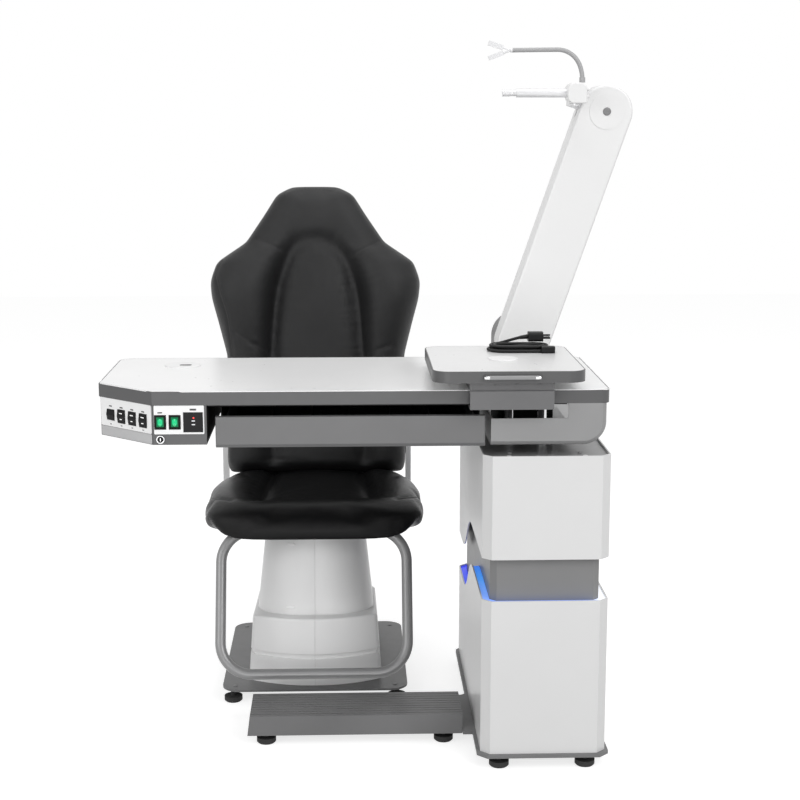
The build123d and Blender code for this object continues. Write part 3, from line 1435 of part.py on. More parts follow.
def half_turn(side, centre, start, z):
    """A half turn at one end of the hank, from one side of its centre to the other."""
    x = hank_end(side)
    ThreePointArc(lead_point(x, start, z), lead_point(x + side * abs(start - centre), centre, z),
                  lead_point(x, 2 * centre - start, z))
    return 2 * centre - start


def climb(start_x, end_x, across, low, high):
    """Two equal arcs that lift the lead while it runs on."""
    middle = lead_point((start_x + end_x) / 2, across, (low + high) / 2)
    first = TangentArc(lead_point(start_x, across, low), middle, tangent=(end_x - start_x, 0, 0))
    TangentArc(middle, lead_point(end_x, across, high), tangent=first % 1)


low_turns = ((-1, -1.5 * hank_pitch), (1, 0), (-1, -hank_pitch), (1, 0), (-1, -hank_pitch))
high_turns = ((1, -hank_pitch), (-1, 0), (1, -hank_pitch), (-1, 0))
turns = low_turns + high_turns
plug_x = hank_right - plug_setback
start_across = -hank_first_turn - 1.5 * hank_pitch
with BuildPart() as cord_hank:
    with BuildLine() as route:
        across = start_across
        Line(lead_point(hank_right + connector_gap, across, low_z), lead_point(hank_left, across, low_z))
        for number, (side, centre) in enumerate(turns, 1):
            level = low_z if number <= len(low_turns) else high_z
            across = half_turn(side, centre, across, level)
            if number == len(low_turns):
                climb(hank_end(side), hank_end(-side), across, low_z, high_z)
            elif number < len(turns):
                Line(lead_point(hank_end(side), across, level), lead_point(hank_end(-side), across, level))
        climb(hank_left, plug_x - 2 * cord_radius, across, high_z, plug_z)
        Line(lead_point(plug_x - 2 * cord_radius, across, plug_z), lead_point(plug_x, across, plug_z))
    lead = route.wires()[0]
    with BuildSketch(Plane(lead_point(hank_right + connector_gap, start_across, low_z), x_dir=(0, 1, 0),
                           z_dir=(-1, 0, 0))):
        Circle(cord_radius)
    sweep(path=lead)
save(cord_hank.part, "cord_hank")

# Least gap of the lead to itself, on points along its middle line
step_count = int(lead.length / cord_radius)
trail = [lead @ (i / step_count) for i in range(step_count + 1)]
apart = int(pi * hank_turn / cord_radius) - 1
least = min((trail[i] - trail[j]).length for i in range(len(trail)) for j in range(i + apart, len(trail)))
print(f"lead {lead.length:.0f} long, least gap to itself {least - 2 * cord_radius:.2f}")
print(f"tube volume {cord_hank.part.volume:.0f}, section times length {pi * cord_radius ** 2 * lead.length:.0f}")

# Plug with its pins, and the appliance connector at the other end
plug_centre = lead_point(plug_x + plug_length / 2, across, plug_z)
with BuildPart() as mains_plug:
    with Locations(plug_centre):
        Box(plug_length, plug_width, plug_height)
    fillet(mains_plug.edges().filter_by(Axis.X), plug_height / 4)
    for spread_y, spread_z in ((-plug_pin_spread, -plug_pin_spread / 2), (plug_pin_spread, -plug_pin_spread / 2),
                               (0, plug_pin_spread / 2)):
        with Locations(Plane(plug_centre + Vector(plug_length / 2, spread_y, spread_z), x_dir=(0, 1, 0),
                             z_dir=(1, 0, 0))):
            Cylinder(plug_pin_radius, plug_pin_length, align=(Align.CENTER, Align.CENTER, Align.MIN))
save(mains_plug.part, "mains_plug")

connector_centre = lead_point(hank_right + connector_gap + connector_length / 2, start_across,
                              tray_top + hank_rest + connector_height / 2)
with BuildPart() as cord_connector:
    with Locations(connector_centre):
        Box(connector_length, connector_width, connector_height)
    fillet(cord_connector.edges().filter_by(Axis.X), connector_height / 6)
save(cord_connector.part, "cord_connector")
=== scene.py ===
"""Looks of the optometry combination table: materials, cushions, mains lead, switches, light and camera."""
import json
import math

import bpy
import numpy as np
from mathutils import Matrix, Vector
from mathutils.bvhtree import BVHTree


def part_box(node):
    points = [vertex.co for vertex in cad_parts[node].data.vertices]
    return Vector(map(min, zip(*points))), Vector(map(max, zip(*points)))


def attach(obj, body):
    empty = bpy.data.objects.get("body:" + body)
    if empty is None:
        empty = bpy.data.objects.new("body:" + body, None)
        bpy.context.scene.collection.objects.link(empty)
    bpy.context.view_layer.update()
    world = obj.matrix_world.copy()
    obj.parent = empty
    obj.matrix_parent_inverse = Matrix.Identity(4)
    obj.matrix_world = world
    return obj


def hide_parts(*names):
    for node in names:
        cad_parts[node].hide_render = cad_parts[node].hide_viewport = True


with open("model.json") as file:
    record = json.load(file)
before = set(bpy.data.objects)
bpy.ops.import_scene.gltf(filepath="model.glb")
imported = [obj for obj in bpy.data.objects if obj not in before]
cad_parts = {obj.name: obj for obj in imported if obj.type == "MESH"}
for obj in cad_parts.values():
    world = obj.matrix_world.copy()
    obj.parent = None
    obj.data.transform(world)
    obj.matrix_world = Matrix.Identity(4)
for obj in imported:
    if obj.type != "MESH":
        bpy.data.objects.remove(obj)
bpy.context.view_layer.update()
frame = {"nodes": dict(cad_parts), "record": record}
nodes = frame["nodes"]
scene = bpy.context.scene

# Places of the column and the chair, read from the frame
housing_low, housing_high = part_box("upper_housing")
plate_low, plate_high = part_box("chair_base_plate")
column = Vector(((housing_low.x + housing_high.x) / 2, housing_low.y, 0))
chair = Vector(((plate_low.x + plate_high.x) / 2, (plate_low.y + plate_high.y) / 2, 0))


def col(x, y, z):
    """A point given in millimetres from the column's foot."""
    return column + Vector((x, y, z)) / 1000


def seat_point(x, y, z):
    """A point given in millimetres from the chair's foot."""
    return chair + Vector((x, y, z)) / 1000


# Materials
TINT_PLACES = (0.3, 0.72)
ROUGH_SPREAD = 0.06
LEAST_ROUGH = 0.02
MID_SCALE = 9
GRAIN_DISTANCE = 0.0004
COAT_ROUGHNESS = 0.12
BROAD_DETAIL, MID_DETAIL, FINE_DETAIL = 5, 6, 3


def new_look(name):
    """A material with its node tree and its shader."""
    material = bpy.data.materials.new(name)
    material.use_nodes = True
    return material, material.node_tree, material.node_tree.nodes["Principled BSDF"]


def noise(tree, where, scale, detail):
    """A noise texture at a place."""
    node = tree.nodes.new("ShaderNodeTexNoise")
    node.inputs["Scale"].default_value = scale
    node.inputs["Detail"].default_value = detail
    tree.links.new(where, node.inputs["Vector"])
    return node


def tinted(tree, amount, places, colours):
    """Two colours mixed by an amount, each at its place on the scale from 0 to 1."""
    node = tree.nodes.new("ShaderNodeValToRGB")
    for stop, place, colour in zip(node.color_ramp.elements, places, colours):
        stop.position = place
        stop.color = (*colour, 1)
    tree.links.new(amount, node.inputs["Fac"])
    return node.outputs["Color"]


def mapped(tree, amount, low, high, start=0.0, end=1.0, curve="LINEAR"):
    """An amount from start to end, mapped to the range from low to high."""
    node = tree.nodes.new("ShaderNodeMapRange")
    node.interpolation_type = curve
    node.inputs["From Min"].default_value = start
    node.inputs["From Max"].default_value = end
    node.inputs["To Min"].default_value = low
    node.inputs["To Max"].default_value = high
    tree.links.new(amount, node.inputs["Value"])
    return node.outputs["Result"]


def relief(tree, height, strength, distance, under=None):
    """A bumped normal, on top of another one where that is given."""
    node = tree.nodes.new("ShaderNodeBump")
    node.inputs["Strength"].default_value = strength
    node.inputs["Distance"].default_value = distance
    tree.links.new(height, node.inputs["Height"])
    if under is not None:
        tree.links.new(under, node.inputs["Normal"])
    return node.outputs["Normal"]


def finish(name, colour, rough, metal=0.0, spread=0.05, patch=5.0, grain=900.0, bump=0.03, coat=0.0,
           streak=None, emission=None, specular=0.5):
    """A surface whose colour, roughness and fine relief vary through noise."""
    material, tree, shader = new_look(name)
    where = tree.nodes.new("ShaderNodeTexCoord").outputs["Object"]
    grain_where = where
    if streak:
        stretch = tree.nodes.new("ShaderNodeMapping")
        stretch.inputs["Scale"].default_value = streak
        tree.links.new(where, stretch.inputs["Vector"])
        grain_where = stretch.outputs["Vector"]
    broad = noise(tree, where, patch, BROAD_DETAIL)
    tints = [[max(0, c * (1 - spread)) for c in colour], [min(1, c * (1 + spread)) for c in colour]]
    tree.links.new(tinted(tree, broad.outputs["Fac"], TINT_PLACES, tints), shader.inputs["Base Color"])
    mid = noise(tree, grain_where, patch * MID_SCALE, MID_DETAIL)
    smoothest = max(LEAST_ROUGH, rough - ROUGH_SPREAD)
    gloss = mapped(tree, mid.outputs["Fac"], smoothest, min(1, rough + ROUGH_SPREAD))
    tree.links.new(gloss, shader.inputs["Roughness"])
    fine = noise(tree, grain_where, grain, FINE_DETAIL)
    tree.links.new(relief(tree, fine.outputs["Fac"], bump, GRAIN_DISTANCE), shader.inputs["Normal"])
    shader.inputs["Metallic"].default_value = metal
    shader.inputs["Specular IOR Level"].default_value = specular
    if coat:
        shader.inputs["Coat Weight"].default_value = coat
        shader.inputs["Coat Roughness"].default_value = COAT_ROUGHNESS
    if emission:
        shader.inputs["Emission Color"].default_value = list(emission[0]) + [1]
        shader.inputs["Emission Strength"].default_value = emission[1]
    return material


# Leather: its cells, their warp and creases, the pores, the patches and the gloss
CELL_SCALE = 520.0
WARP_SCALE = 60
WARP_DETAIL = 2
WARP_REACH = 0.006
CREASE_WIDTH = 0.16
CREASE_STRENGTH = 0.35
PORE_SCALE = 3 * CELL_SCALE
PORE_STRENGTH = 0.12
PORE_DISTANCE = 0.0003
PATCH_SCALE = 7
PATCH_PLACES = (0.3, 0.75)
PATCH_SHARES = (0.75, 1.3)
GLOSS_SPREAD = 0.07


def leather(name, colour, rough, specular):
    """Grained upholstery leather: small cells with creases between them."""
    material, tree, shader = new_look(name)
    where = tree.nodes.new("ShaderNodeTexCoord").outputs["Object"]
    shift = tree.nodes.new("ShaderNodeVectorMath")
    shift.operation = "MULTIPLY_ADD"
    shift.inputs[1].default_value = (WARP_REACH, WARP_REACH, WARP_REACH)
    tree.links.new(noise(tree, where, WARP_SCALE, WARP_DETAIL).outputs["Color"], shift.inputs[0])
    tree.links.new(where, shift.inputs[2])
    cells = tree.nodes.new("ShaderNodeTexVoronoi")
    cells.feature = "DISTANCE_TO_EDGE"
    cells.inputs["Scale"].default_value = CELL_SCALE
    tree.links.new(shift.outputs["Vector"], cells.inputs["Vector"])
    crease = mapped(tree, cells.outputs["Distance"], 0, 1, end=CREASE_WIDTH, curve="SMOOTHSTEP")
    pores = noise(tree, where, PORE_SCALE, FINE_DETAIL)
    small = relief(tree, pores.outputs["Fac"], PORE_STRENGTH, PORE_DISTANCE)
    tree.links.new(relief(tree, crease, CREASE_STRENGTH, GRAIN_DISTANCE, small), shader.inputs["Normal"])
    broad = noise(tree, where, PATCH_SCALE, MID_DETAIL).outputs["Fac"]
    tints = [[c * share for c in colour] for share in PATCH_SHARES]
    tree.links.new(tinted(tree, broad, PATCH_PLACES, tints), shader.inputs["Base Color"])
    tree.links.new(mapped(tree, broad, rough + GLOSS_SPREAD, rough - GLOSS_SPREAD), shader.inputs["Roughness"])
    shader.inputs["Specular IOR Level"].default_value = specular
    return material


# Edge lights: the colours from the front to the rear, and where they fade to pale at the right
LIGHT_DEPTH = 0.72
LIGHT_STOPS = ((0.0, (0.42, 0.5, 0.85)), (0.06, (0.22, 0.36, 0.9)), (0.30, (0.06, 0.3, 0.85)),
               (0.62, (0.02, 0.1, 0.85)), (1.0, (0.02, 0.04, 0.75)))
LIGHT_CLOUD = 9
LIGHT_WANDER = 0.06
PALE_START, PALE_END = 0.095, 0.125
PALE_LIGHT = (0.8, 0.82, 0.87, 1)
LIGHT_POWER = 0.75
LIGHT_ROUGH = (0.3, 0.5)


def light_line(name):
    """Glowing edge lights: deep blue along the left side, cyan on the slope and pale at the front."""
    material, tree, shader = new_look(name)
    where = tree.nodes.new("ShaderNodeNewGeometry").outputs["Position"]
    parts = tree.nodes.new("ShaderNodeSeparateXYZ")
    tree.links.new(where, parts.inputs["Vector"])
    along = mapped(tree, parts.outputs["Y"], 0, 1, column.y, column.y + LIGHT_DEPTH)
    cloud = noise(tree, where, LIGHT_CLOUD, FINE_DETAIL)
    wander = tree.nodes.new("ShaderNodeMath")
    wander.operation = "MULTIPLY_ADD"
    wander.inputs[1].default_value = LIGHT_WANDER
    tree.links.new(cloud.outputs["Fac"], wander.inputs[0])
    tree.links.new(along, wander.inputs[2])
    colours = tree.nodes.new("ShaderNodeValToRGB")
    stops = colours.color_ramp.elements
    stops[0].color = (*LIGHT_STOPS[0][1], 1)
    stops[1].color = (*LIGHT_STOPS[-1][1], 1)
    for place, colour in LIGHT_STOPS[1:-1]:
        stops.new(place).color = (*colour, 1)
    tree.links.new(wander.outputs["Value"], colours.inputs["Fac"])
    rightness = mapped(tree, parts.outputs["X"], 0, 1, column.x + PALE_START, column.x + PALE_END)
    paler = tree.nodes.new("ShaderNodeMix")
    paler.data_type = "RGBA"
    paler.inputs["B"].default_value = PALE_LIGHT
    tree.links.new(rightness, paler.inputs["Factor"])
    tree.links.new(colours.outputs["Color"], paler.inputs["A"])
    tree.links.new(paler.outputs["Result"], shader.inputs["Base Color"])
    tree.links.new(paler.outputs["Result"], shader.inputs["Emission Color"])
    shader.inputs["Emission Strength"].default_value = LIGHT_POWER
    tree.links.new(mapped(tree, cloud.outputs["Fac"], *LIGHT_ROUGH), shader.inputs["Roughness"])
    return material


M = {
    "grey_steel": finish("grey_steel", (0.15, 0.15, 0.152), 0.42, spread=0.1, bump=0.06, grain=1300),
    "rubber": finish("rubber", (0.02, 0.02, 0.02), 0.8, spread=0.3, bump=0.2, grain=900),
    "white_sheet": finish("white_sheet", (0.7, 0.7, 0.7), 0.34, spread=0.015, bump=0.05, grain=1100,
                          coat=0.15),
    "light_diffuser": light_line("light_diffuser"),
    "sleeve_grey": finish("sleeve_grey", (0.2, 0.2, 0.2), 0.4, spread=0.06, bump=0.05, grain=1200),
    "lift_steel": finish("lift_steel", (0.55, 0.55, 0.56), 0.3, metal=1, streak=(6, 6, 0.3), spread=0.08,
                         grain=300, bump=0.08),
    "white_laminate": finish("white_laminate", (0.84, 0.84, 0.84), 0.3, spread=0.015, bump=0.035, grain=1600),
    "tray_laminate": finish("tray_laminate", (0.7, 0.7, 0.7), 0.3, spread=0.015, bump=0.035, grain=1600),
    "grey_band": finish("grey_band", (0.082, 0.082, 0.084), 0.36, spread=0.07, bump=0.05, grain=1400),
    "white_cap": finish("white_cap", (0.82, 0.82, 0.82), 0.35, spread=0.03, bump=0.05, grain=1500),
    "grey_sheet": finish("grey_sheet", (0.27, 0.27, 0.272), 0.42, spread=0.05, bump=0.07, grain=1300),
    "bracket_grey": finish("bracket_grey", (0.13, 0.13, 0.133), 0.38, spread=0.08, bump=0.06, grain=1300),
    "lever_metal": finish("lever_metal", (0.75, 0.75, 0.76), 0.14, metal=1, spread=0.05, grain=500,
                          bump=0.02),
    "drawer_grey": finish("drawer_grey", (0.145, 0.145, 0.147), 0.44, spread=0.05, bump=0.07, grain=1500),
    "drawer_plastic": finish("drawer_plastic", (0.05, 0.05, 0.052), 0.6, spread=0.1, bump=0.15, grain=900),
    "panel_white": finish("panel_white", (0.9, 0.9, 0.9), 0.35, spread=0.02, bump=0.04, grain=1500),
    "panel_black": finish("panel_black", (0.008, 0.008, 0.009), 0.2, spread=0.2, bump=0.01, grain=700,
                          specular=0.12),
    "rocker_black": finish("rocker_black", (0.008, 0.008, 0.009), 0.3, spread=0.2, bump=0.03, grain=900,
                           specular=0.12),
    "rocker_frame": finish("rocker_frame", (0.006, 0.009, 0.007), 0.3, spread=0.2, bump=0.03, grain=900,
                           specular=0.12),
    "lens_green": finish("lens_green", (0.004, 0.12, 0.045), 0.2, spread=0.25, patch=60, bump=0.02, grain=700,
                         emission=((0.004, 0.35, 0.13), 0.25), specular=0.15),
    "glow_green": finish("glow_green", (0.01, 0.4, 0.16), 0.25, spread=0.15, patch=60, bump=0.02, grain=700,
                         emission=((0.01, 0.6, 0.22), 0.5), specular=0.15),
    "mark_pale": finish("mark_pale", (0.3, 0.75, 0.45), 0.4, spread=0.05, bump=0.02, specular=0.2),
    "pedestal_grey": finish("pedestal_grey", (0.11, 0.11, 0.113), 0.42, spread=0.08, bump=0.08, grain=1100),
    "white_plastic": finish("white_plastic", (0.78, 0.78, 0.78), 0.32, spread=0.015, bump=0.05, grain=1300,
                            coat=0.1),
    "cover_plastic": finish("cover_plastic", (0.85, 0.85, 0.85), 0.36, spread=0.02, bump=0.06, grain=1100),
    "light_metal": finish("light_metal", (0.72, 0.72, 0.73), 0.3, metal=0.35, spread=0.04, grain=900,
                          bump=0.03),
    "gooseneck_grey": finish("gooseneck_grey", (0.36, 0.36, 0.365), 0.4, spread=0.06, bump=0.1, grain=1500),
    "shroud_white": finish("shroud_white", (0.7, 0.7, 0.7), 0.4, spread=0.03, bump=0.05, grain=1200),
    "pan_black": finish("pan_black", (0.02, 0.02, 0.02), 0.45, spread=0.15, bump=0.08, grain=900),
    "ring_grey": finish("ring_grey", (0.28, 0.28, 0.283), 0.33, metal=0.25, spread=0.06, bump=0.06,
                        grain=1200),
    "bracket_white": finish("bracket_white", (0.8, 0.8, 0.8), 0.36, spread=0.02, bump=0.05, grain=1200),
    "shell_black": finish("shell_black", (0.018, 0.018, 0.018), 0.55, spread=0.15, bump=0.25, grain=700),
    "cord_black": finish("cord_black", (0.007, 0.007, 0.0075), 0.45, spread=0.2, bump=0.1, grain=1500,
                         specular=0.25),
    "leather": leather("leather", (0.009, 0.009, 0.0095), 0.45, specular=0.3),
    # darker copy of the back's leather for the seat: painted shade
    "shaded_seat_leather": leather("shaded_seat_leather", (0.0035, 0.0035, 0.0038), 0.31, specular=0.17),
    # black for the lock's core and the cable slot, and as painted shade on the drawer case, the tray rail, the
    # support block and the control box's inner end
    "deep_black": finish("deep_black", (0.008, 0.008, 0.008), 0.6, spread=0.3, bump=0.1, grain=900,
                         specular=0.2),
    # mid grey for the column's top plate, which is white: painted shade under the tabletop
    "shaded_top_grey": finish("shaded_top_grey", (0.34, 0.34, 0.343), 0.42, spread=0.07, bump=0.05, grain=1300),
    "satin_grey": finish("satin_grey", (0.27, 0.27, 0.275), 0.35, metal=0.15, spread=0.06, grain=900,
                         bump=0.04),
    "lock_metal": finish("lock_metal", (0.12, 0.12, 0.125), 0.2, metal=1, spread=0.1, grain=700, bump=0.03),
    "box_grey": finish("box_grey", (0.1, 0.1, 0.102), 0.42, spread=0.06, bump=0.06, grain=1300),
    # pale grey for the band on the control box's slanted side: painted light on that side
    "painted_light_grey": finish("painted_light_grey", (0.5, 0.5, 0.505), 0.4, spread=0.04, bump=0.05, grain=1300),
    # bright white for the painted highlights on the tabletop's edge and on the chair cover, and for the lid
    # screws
    "bright_line": finish("bright_line", (0.92, 0.92, 0.92), 0.3, spread=0.02, bump=0.02, grain=900),
    "cap_grey": finish("cap_grey", (0.2, 0.2, 0.203), 0.45, spread=0.12, patch=120, bump=0.2, grain=1500),
    "thread": finish("thread", (0.02, 0.02, 0.02), 0.6, spread=0.3, patch=300, bump=0.3, grain=3000),
    # white switch marks with a faint painted glow
    "mark_white": finish("mark_white", (0.95, 0.95, 0.95), 0.4, spread=0.03, bump=0.02,
                         emission=((1, 1, 1), 0.15)),
    "mark_dark": finish("mark_dark", (0.03, 0.03, 0.03), 0.4, spread=0.2, bump=0.02),
    "led_red": finish("led_red", (0.5, 0.02, 0.02), 0.3, spread=0.1, emission=((1, 0.05, 0.04), 1.6)),
    "light_bar": finish("light_bar", (0.5, 0.5, 0.5), 0.3, spread=0.1, emission=((0.8, 0.85, 0.9), 0.5)),
}

slot_of = {part["node"]: part["material_slot"] for part in frame["record"]["subparts"]}
own_finish = {"power_rocker_1": "rocker_frame", "power_rocker_2": "rocker_frame",
              "chair_cover_left": "cover_plastic", "chair_cover_right": "cover_plastic",
              "support_posts": "lever_metal", "key_lock": "lock_metal", "control_box": "box_grey",
              # drawer_case and tray_rail: black as painted shade under the tabletop; table_support: black,
              # partly its own dark grey and partly painted shade below the apron
              "drawer_case": "deep_black", "tray_rail": "deep_black", "table_support": "deep_black",
              # column_top_plate: mid grey on its white top, as painted shade
              "column_top_plate": "shaded_top_grey", "tray_lock_lever": "satin_grey", "tray_board": "tray_laminate"}
for name, item in nodes.items():
    look = M.get(own_finish.get(name, slot_of[name]), M["grey_steel"])
    for place in item.material_slots:
        place.material = look


# Pieces in mesh code and curves
def link(item):
    scene.collection.objects.link(item)
    return item


def mesh_piece(name, points, faces, look, body):
    """A mesh piece in the shared frame, riding on a body."""
    mesh = bpy.data.meshes.new(name)
    mesh.from_pydata([tuple(p) for p in points], [], faces)
    mesh.validate()
    mesh.materials.append(M[look])
    mesh.shade_smooth()
    item = link(bpy.data.objects.new(name, mesh))
    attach(item, body)
    return item


def tube(name, points, radius, look, body, closed=False, resolution=6, order=3):
    """A thin round strand along a smooth line."""
    curve = bpy.data.curves.new(name, "CURVE")
    curve.dimensions = "3D"
    curve.bevel_depth = radius
    curve.bevel_resolution = 3
    curve.resolution_u = resolution
    curve.use_fill_caps = True
    spline = curve.splines.new("NURBS")
    spline.points.add(len(points) - 1)
    for control, p in zip(spline.points, points):
        control.co = (*p, 1)
    spline.order_u = order
    spline.use_endpoint_u = not closed
    spline.use_cyclic_u = closed
    curve.materials.append(M[look])
    item = link(bpy.data.objects.new(name, curve))
    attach(item, body)
    return item


CORNER_STEPS = 5
CORNER_LIMIT = 0.98
EDGE_SHARES = (0.4, 0.6)
EDGE_EASE = 0.3


def rounded_plate(name, centre, right, up, width, height, thickness, corner, look, body):
    """A small rounded plate with a soft front edge, standing out along right x up."""
    out = right.cross(up).normalized()
    right = right.normalized()
    up = up.normalized()
    corner = min(corner, width / 2 * CORNER_LIMIT, height / 2 * CORNER_LIMIT)
    edge = min(thickness * EDGE_SHARES[0], corner * EDGE_SHARES[1])
    outline = []
    for cx, cy, start in ((1, 1, 0), (-1, 1, 90), (-1, -1, 180), (1, -1, 270)):
        for i in range(CORNER_STEPS + 1):
            a = math.radians(start + 90 * i / CORNER_STEPS)
            outline.append((cx * (width / 2 - corner) + corner * math.cos(a),
                            cy * (height / 2 - corner) + corner * math.sin(a), math.cos(a), math.sin(a)))
    rings = [(0, 0), (0, thickness - edge), (edge * EDGE_EASE, thickness - edge * EDGE_EASE), (edge, thickness)]
    points = []
    for inset, depth in rings:
        for x, y, nx, ny in outline:
            points.append(centre + right * (x - nx * inset) + up * (y - ny * inset) + out * depth)
    count = len(outline)
    faces = []
    for r in range(len(rings) - 1):
        for i in range(count):
            j = (i + 1) % count
            faces.append((r * count + i, r * count + j, (r + 1) * count + j, (r + 1) * count + i))
    points.append(centre + out * thickness)
    top = len(points) - 1
    last = (len(rings) - 1) * count
    for i in range(count):
        faces.append((last + i, last + (i + 1) % count, top))
    points.append(centre)
    low = len(points) - 1
    for i in range(count):
        faces.append(((i + 1) % count, i, low))
    return mesh_piece(name, points, faces, look, body)


def turned(name, centre, axis, profile, look, body, sides=32):
    """A turned piece: profile is a list of (distance along the axis, radius)."""
    axis = axis.normalized()
    side = axis.orthogonal().normalized()
    other = axis.cross(side)
    points = []
    for along, radius in profile:
        for i in range(sides):
            a = 2 * math.pi * i / sides
            points.append(centre + axis * along + (side * math.cos(a) + other * math.sin(a)) * radius)
    faces = []
    for r in range(len(profile) - 1):
        for i in range(sides):
            j = (i + 1) % sides
            faces.append((r * sides + i, r * sides + j, (r + 1) * sides + j, (r + 1) * sides + i))
    faces.append(tuple(reversed(range(sides))))
    faces.append(tuple(range((len(profile) - 1) * sides, len(profile) * sides)))
    return mesh_piece(name, points, faces, look, body)


# Camera, as fitted to the photograph: lens in millimetres, place from the column's foot in metres, and angles
LENS = 70.965
SENSOR = 36
VIEW_END = 60
CAMERA_PLACE = Vector((-0.4338, -3.320, 1.440))
CAMERA_PITCH, CAMERA_TURN = 79.8, -1.95
camera = link(bpy.data.objects.new("camera", bpy.data.cameras.new("camera")))
camera.data.lens = LENS
camera.data.sensor_width = SENSOR
camera.data.clip_end = VIEW_END
camera.location = column + CAMERA_PLACE
camera.rotation_euler = (math.radians(CAMERA_PITCH), 0, math.radians(CAMERA_TURN))
scene.camera = camera

# Mains lead: a hank in two layers on the tray, from the connector to the plug
hank_left, hank_right, hank_y = -70.5, -3.5, 262
low_level, high_level, plug_level = 913.9, 921.9, 937.2
connector_x, connector_y = hank_right + 12, hank_y - 45
lead_in_x = hank_right - 4
plug_x, plug_y = hank_right - 10, hank_y + 33
plug_run = 14
hank_half_step = 15
hank_angles = (-75, -45, -15, 15, 45, 75)
lead_radius = 0.0035
hank_turns = [(-1, -6, 39, low_level), (1, 0, 33, low_level), (-1, -4, 29, low_level), (1, 0, 25, low_level),
              (-1, -4, 21, low_level), (1, -4, 21, high_level), (-1, 0, 25, high_level),
              (1, -4, 29, high_level), (-1, 0, 33, high_level)]
route = [col(connector_x, connector_y, low_level), col(lead_in_x, connector_y, low_level)]
going_up = True
for side, centre, radius, level in hank_turns:
    end_x = hank_right if side > 0 else hank_left
    reach = radius / math.cos(math.radians(hank_half_step))
    for angle in hank_angles:
        turn = math.radians(angle if going_up else -angle)
        route.append(col(end_x + side * reach * math.cos(turn), hank_y + centre + reach * math.sin(turn),
                         level))
    going_up = not going_up
route += [col(plug_x - plug_run, plug_y, plug_level), col(plug_x, plug_y, plug_level)]
lead = tube("mains_lead", route, lead_radius, "cord_black", "tray", resolution=10)
lead.data.bevel_resolution = 4
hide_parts("cord_hank")


# Strain reliefs: their ribs, each with a groove between shares of its pitch, and their rounded ends
RIBS = 6
RIB_START, GROOVE_MIDDLE, GROOVE_END = 0.3, 0.25, 0.45
GROOVE_DEPTH = 0.0006
ROOT_EDGE, TIP_EDGE = 0.0006, 0.0004
ROOT_SHARE, TIP_SHARE = 0.9, 0.8
RELIEF_LENGTH = 0.020


def sleeve(name, start, direction, length, big, small):
    """A ribbed strain relief round the lead."""
    profile = [(0, big * ROOT_SHARE), (ROOT_EDGE, big)]
    for i in range(RIBS):
        here = big + (small - big) * i / RIBS
        at = length * (i + RIB_START) / RIBS
        profile += [(at, here), (at + length * GROOVE_MIDDLE / RIBS, here - GROOVE_DEPTH),
                    (at + length * GROOVE_END / RIBS, here)]
    profile += [(length, small), (length + TIP_EDGE, small * TIP_SHARE)]
    return turned(name, start, direction, profile, "cord_black", "tray", sides=20)


plug_face = col(plug_x, plug_y, plug_level)
connector_face = col(connector_x, connector_y, low_level)
plug_relief = sleeve("plug_relief", plug_face, Vector((-1, 0, -0.12)), RELIEF_LENGTH, 0.0056, 0.0040)
connector_relief = sleeve("connector_relief", connector_face, Vector((-1, 0, 0.0)), RELIEF_LENGTH, 0.0038,
                          0.0037)


# Cushions: the remeshed form, its layer that stays in place, and how far it is evened before it swells
VOXEL = 0.0055
BASE_DEPTH = 0.012
START_ROUNDS, START_SHARE = 12, 0.6
SHRINK = 0.003
FRONT_LIMIT = 0.15
PIN_SHARE = 0.9

CLOTH_FRAMES = 20
CLOTH_QUALITY = 5
CLOTH_MASS = 0.3
TENSION, SHEAR, BENDING = 12, 6, 0.8
PRESSURE = 4.0

# After the cloth: how it is evened and fitted, and where creases act on surfaces that face outwards
END_ROUNDS, END_SHARE = 8, 0.5
FIT_SLACK = 0.001
FACING_START, FACING_SPAN = 0.05, 0.5
SEAM_DEPTH, SEAM_WIDTH = 0.0028, 0.006

# Small puckers along the creases
PUCKER = 0.0004
PUCKER_REACH = 2.2
PUCKER_GAP = 0.004
PUCKER_WAVES, PUCKER_DRIFT, PUCKER_DRIFT_WAVES = 260, 2.2, 61
PROBE = 0.4


def adjacency(mesh):
    """The pairs of points that edges join."""
    edges = np.empty(len(mesh.edges) * 2, np.int64)
    mesh.edges.foreach_get("vertices", edges)
    return edges.reshape(-1, 2)


def coords(mesh):
    """The places of a mesh's points."""
    out = np.empty(len(mesh.vertices) * 3)
    mesh.vertices.foreach_get("co", out)
    return out.reshape(-1, 3)


def normals_of(mesh):
    """The normals at a mesh's points."""
    out = np.empty(len(mesh.vertices) * 3)
    mesh.vertex_normals.foreach_get("vector", out)
    return out.reshape(-1, 3)


def put(mesh, points):
    """Moves a mesh's points to new places."""
    mesh.vertices.foreach_set("co", points.ravel())
    mesh.update()


def relax(points, edges, rounds, share):
    """Evens a mesh by moving each point towards the middle of its neighbours."""
    count = np.bincount(edges.ravel(), minlength=len(points)).astype(float)
    for _ in range(rounds):
        total = np.zeros_like(points)
        np.add.at(total, edges[:, 0], points[edges[:, 1]])
        np.add.at(total, edges[:, 1], points[edges[:, 0]])
        points = points + (total / count[:, None] - points) * share
    return points


def line_distance(flat, lines):
    """Distance of each flat point from the nearest of several polylines, and how far along that line."""
    best = np.full(len(flat), 1e9)
    along = np.zeros(len(flat))
    for line in lines:
        line = np.array(line, float)
        run = 0.0
        for a, b in zip(line[:-1], line[1:]):
            d = b - a
            length = float(np.hypot(*d))
            t = np.clip(((flat - a) @ d) / (length * length), 0, 1)
            away = np.hypot(*(flat - (a + t[:, None] * d)).T)
            near = away < best
            best[near] = away[near]
            along[near] = run + t[near] * length
            run += length
    return best, along


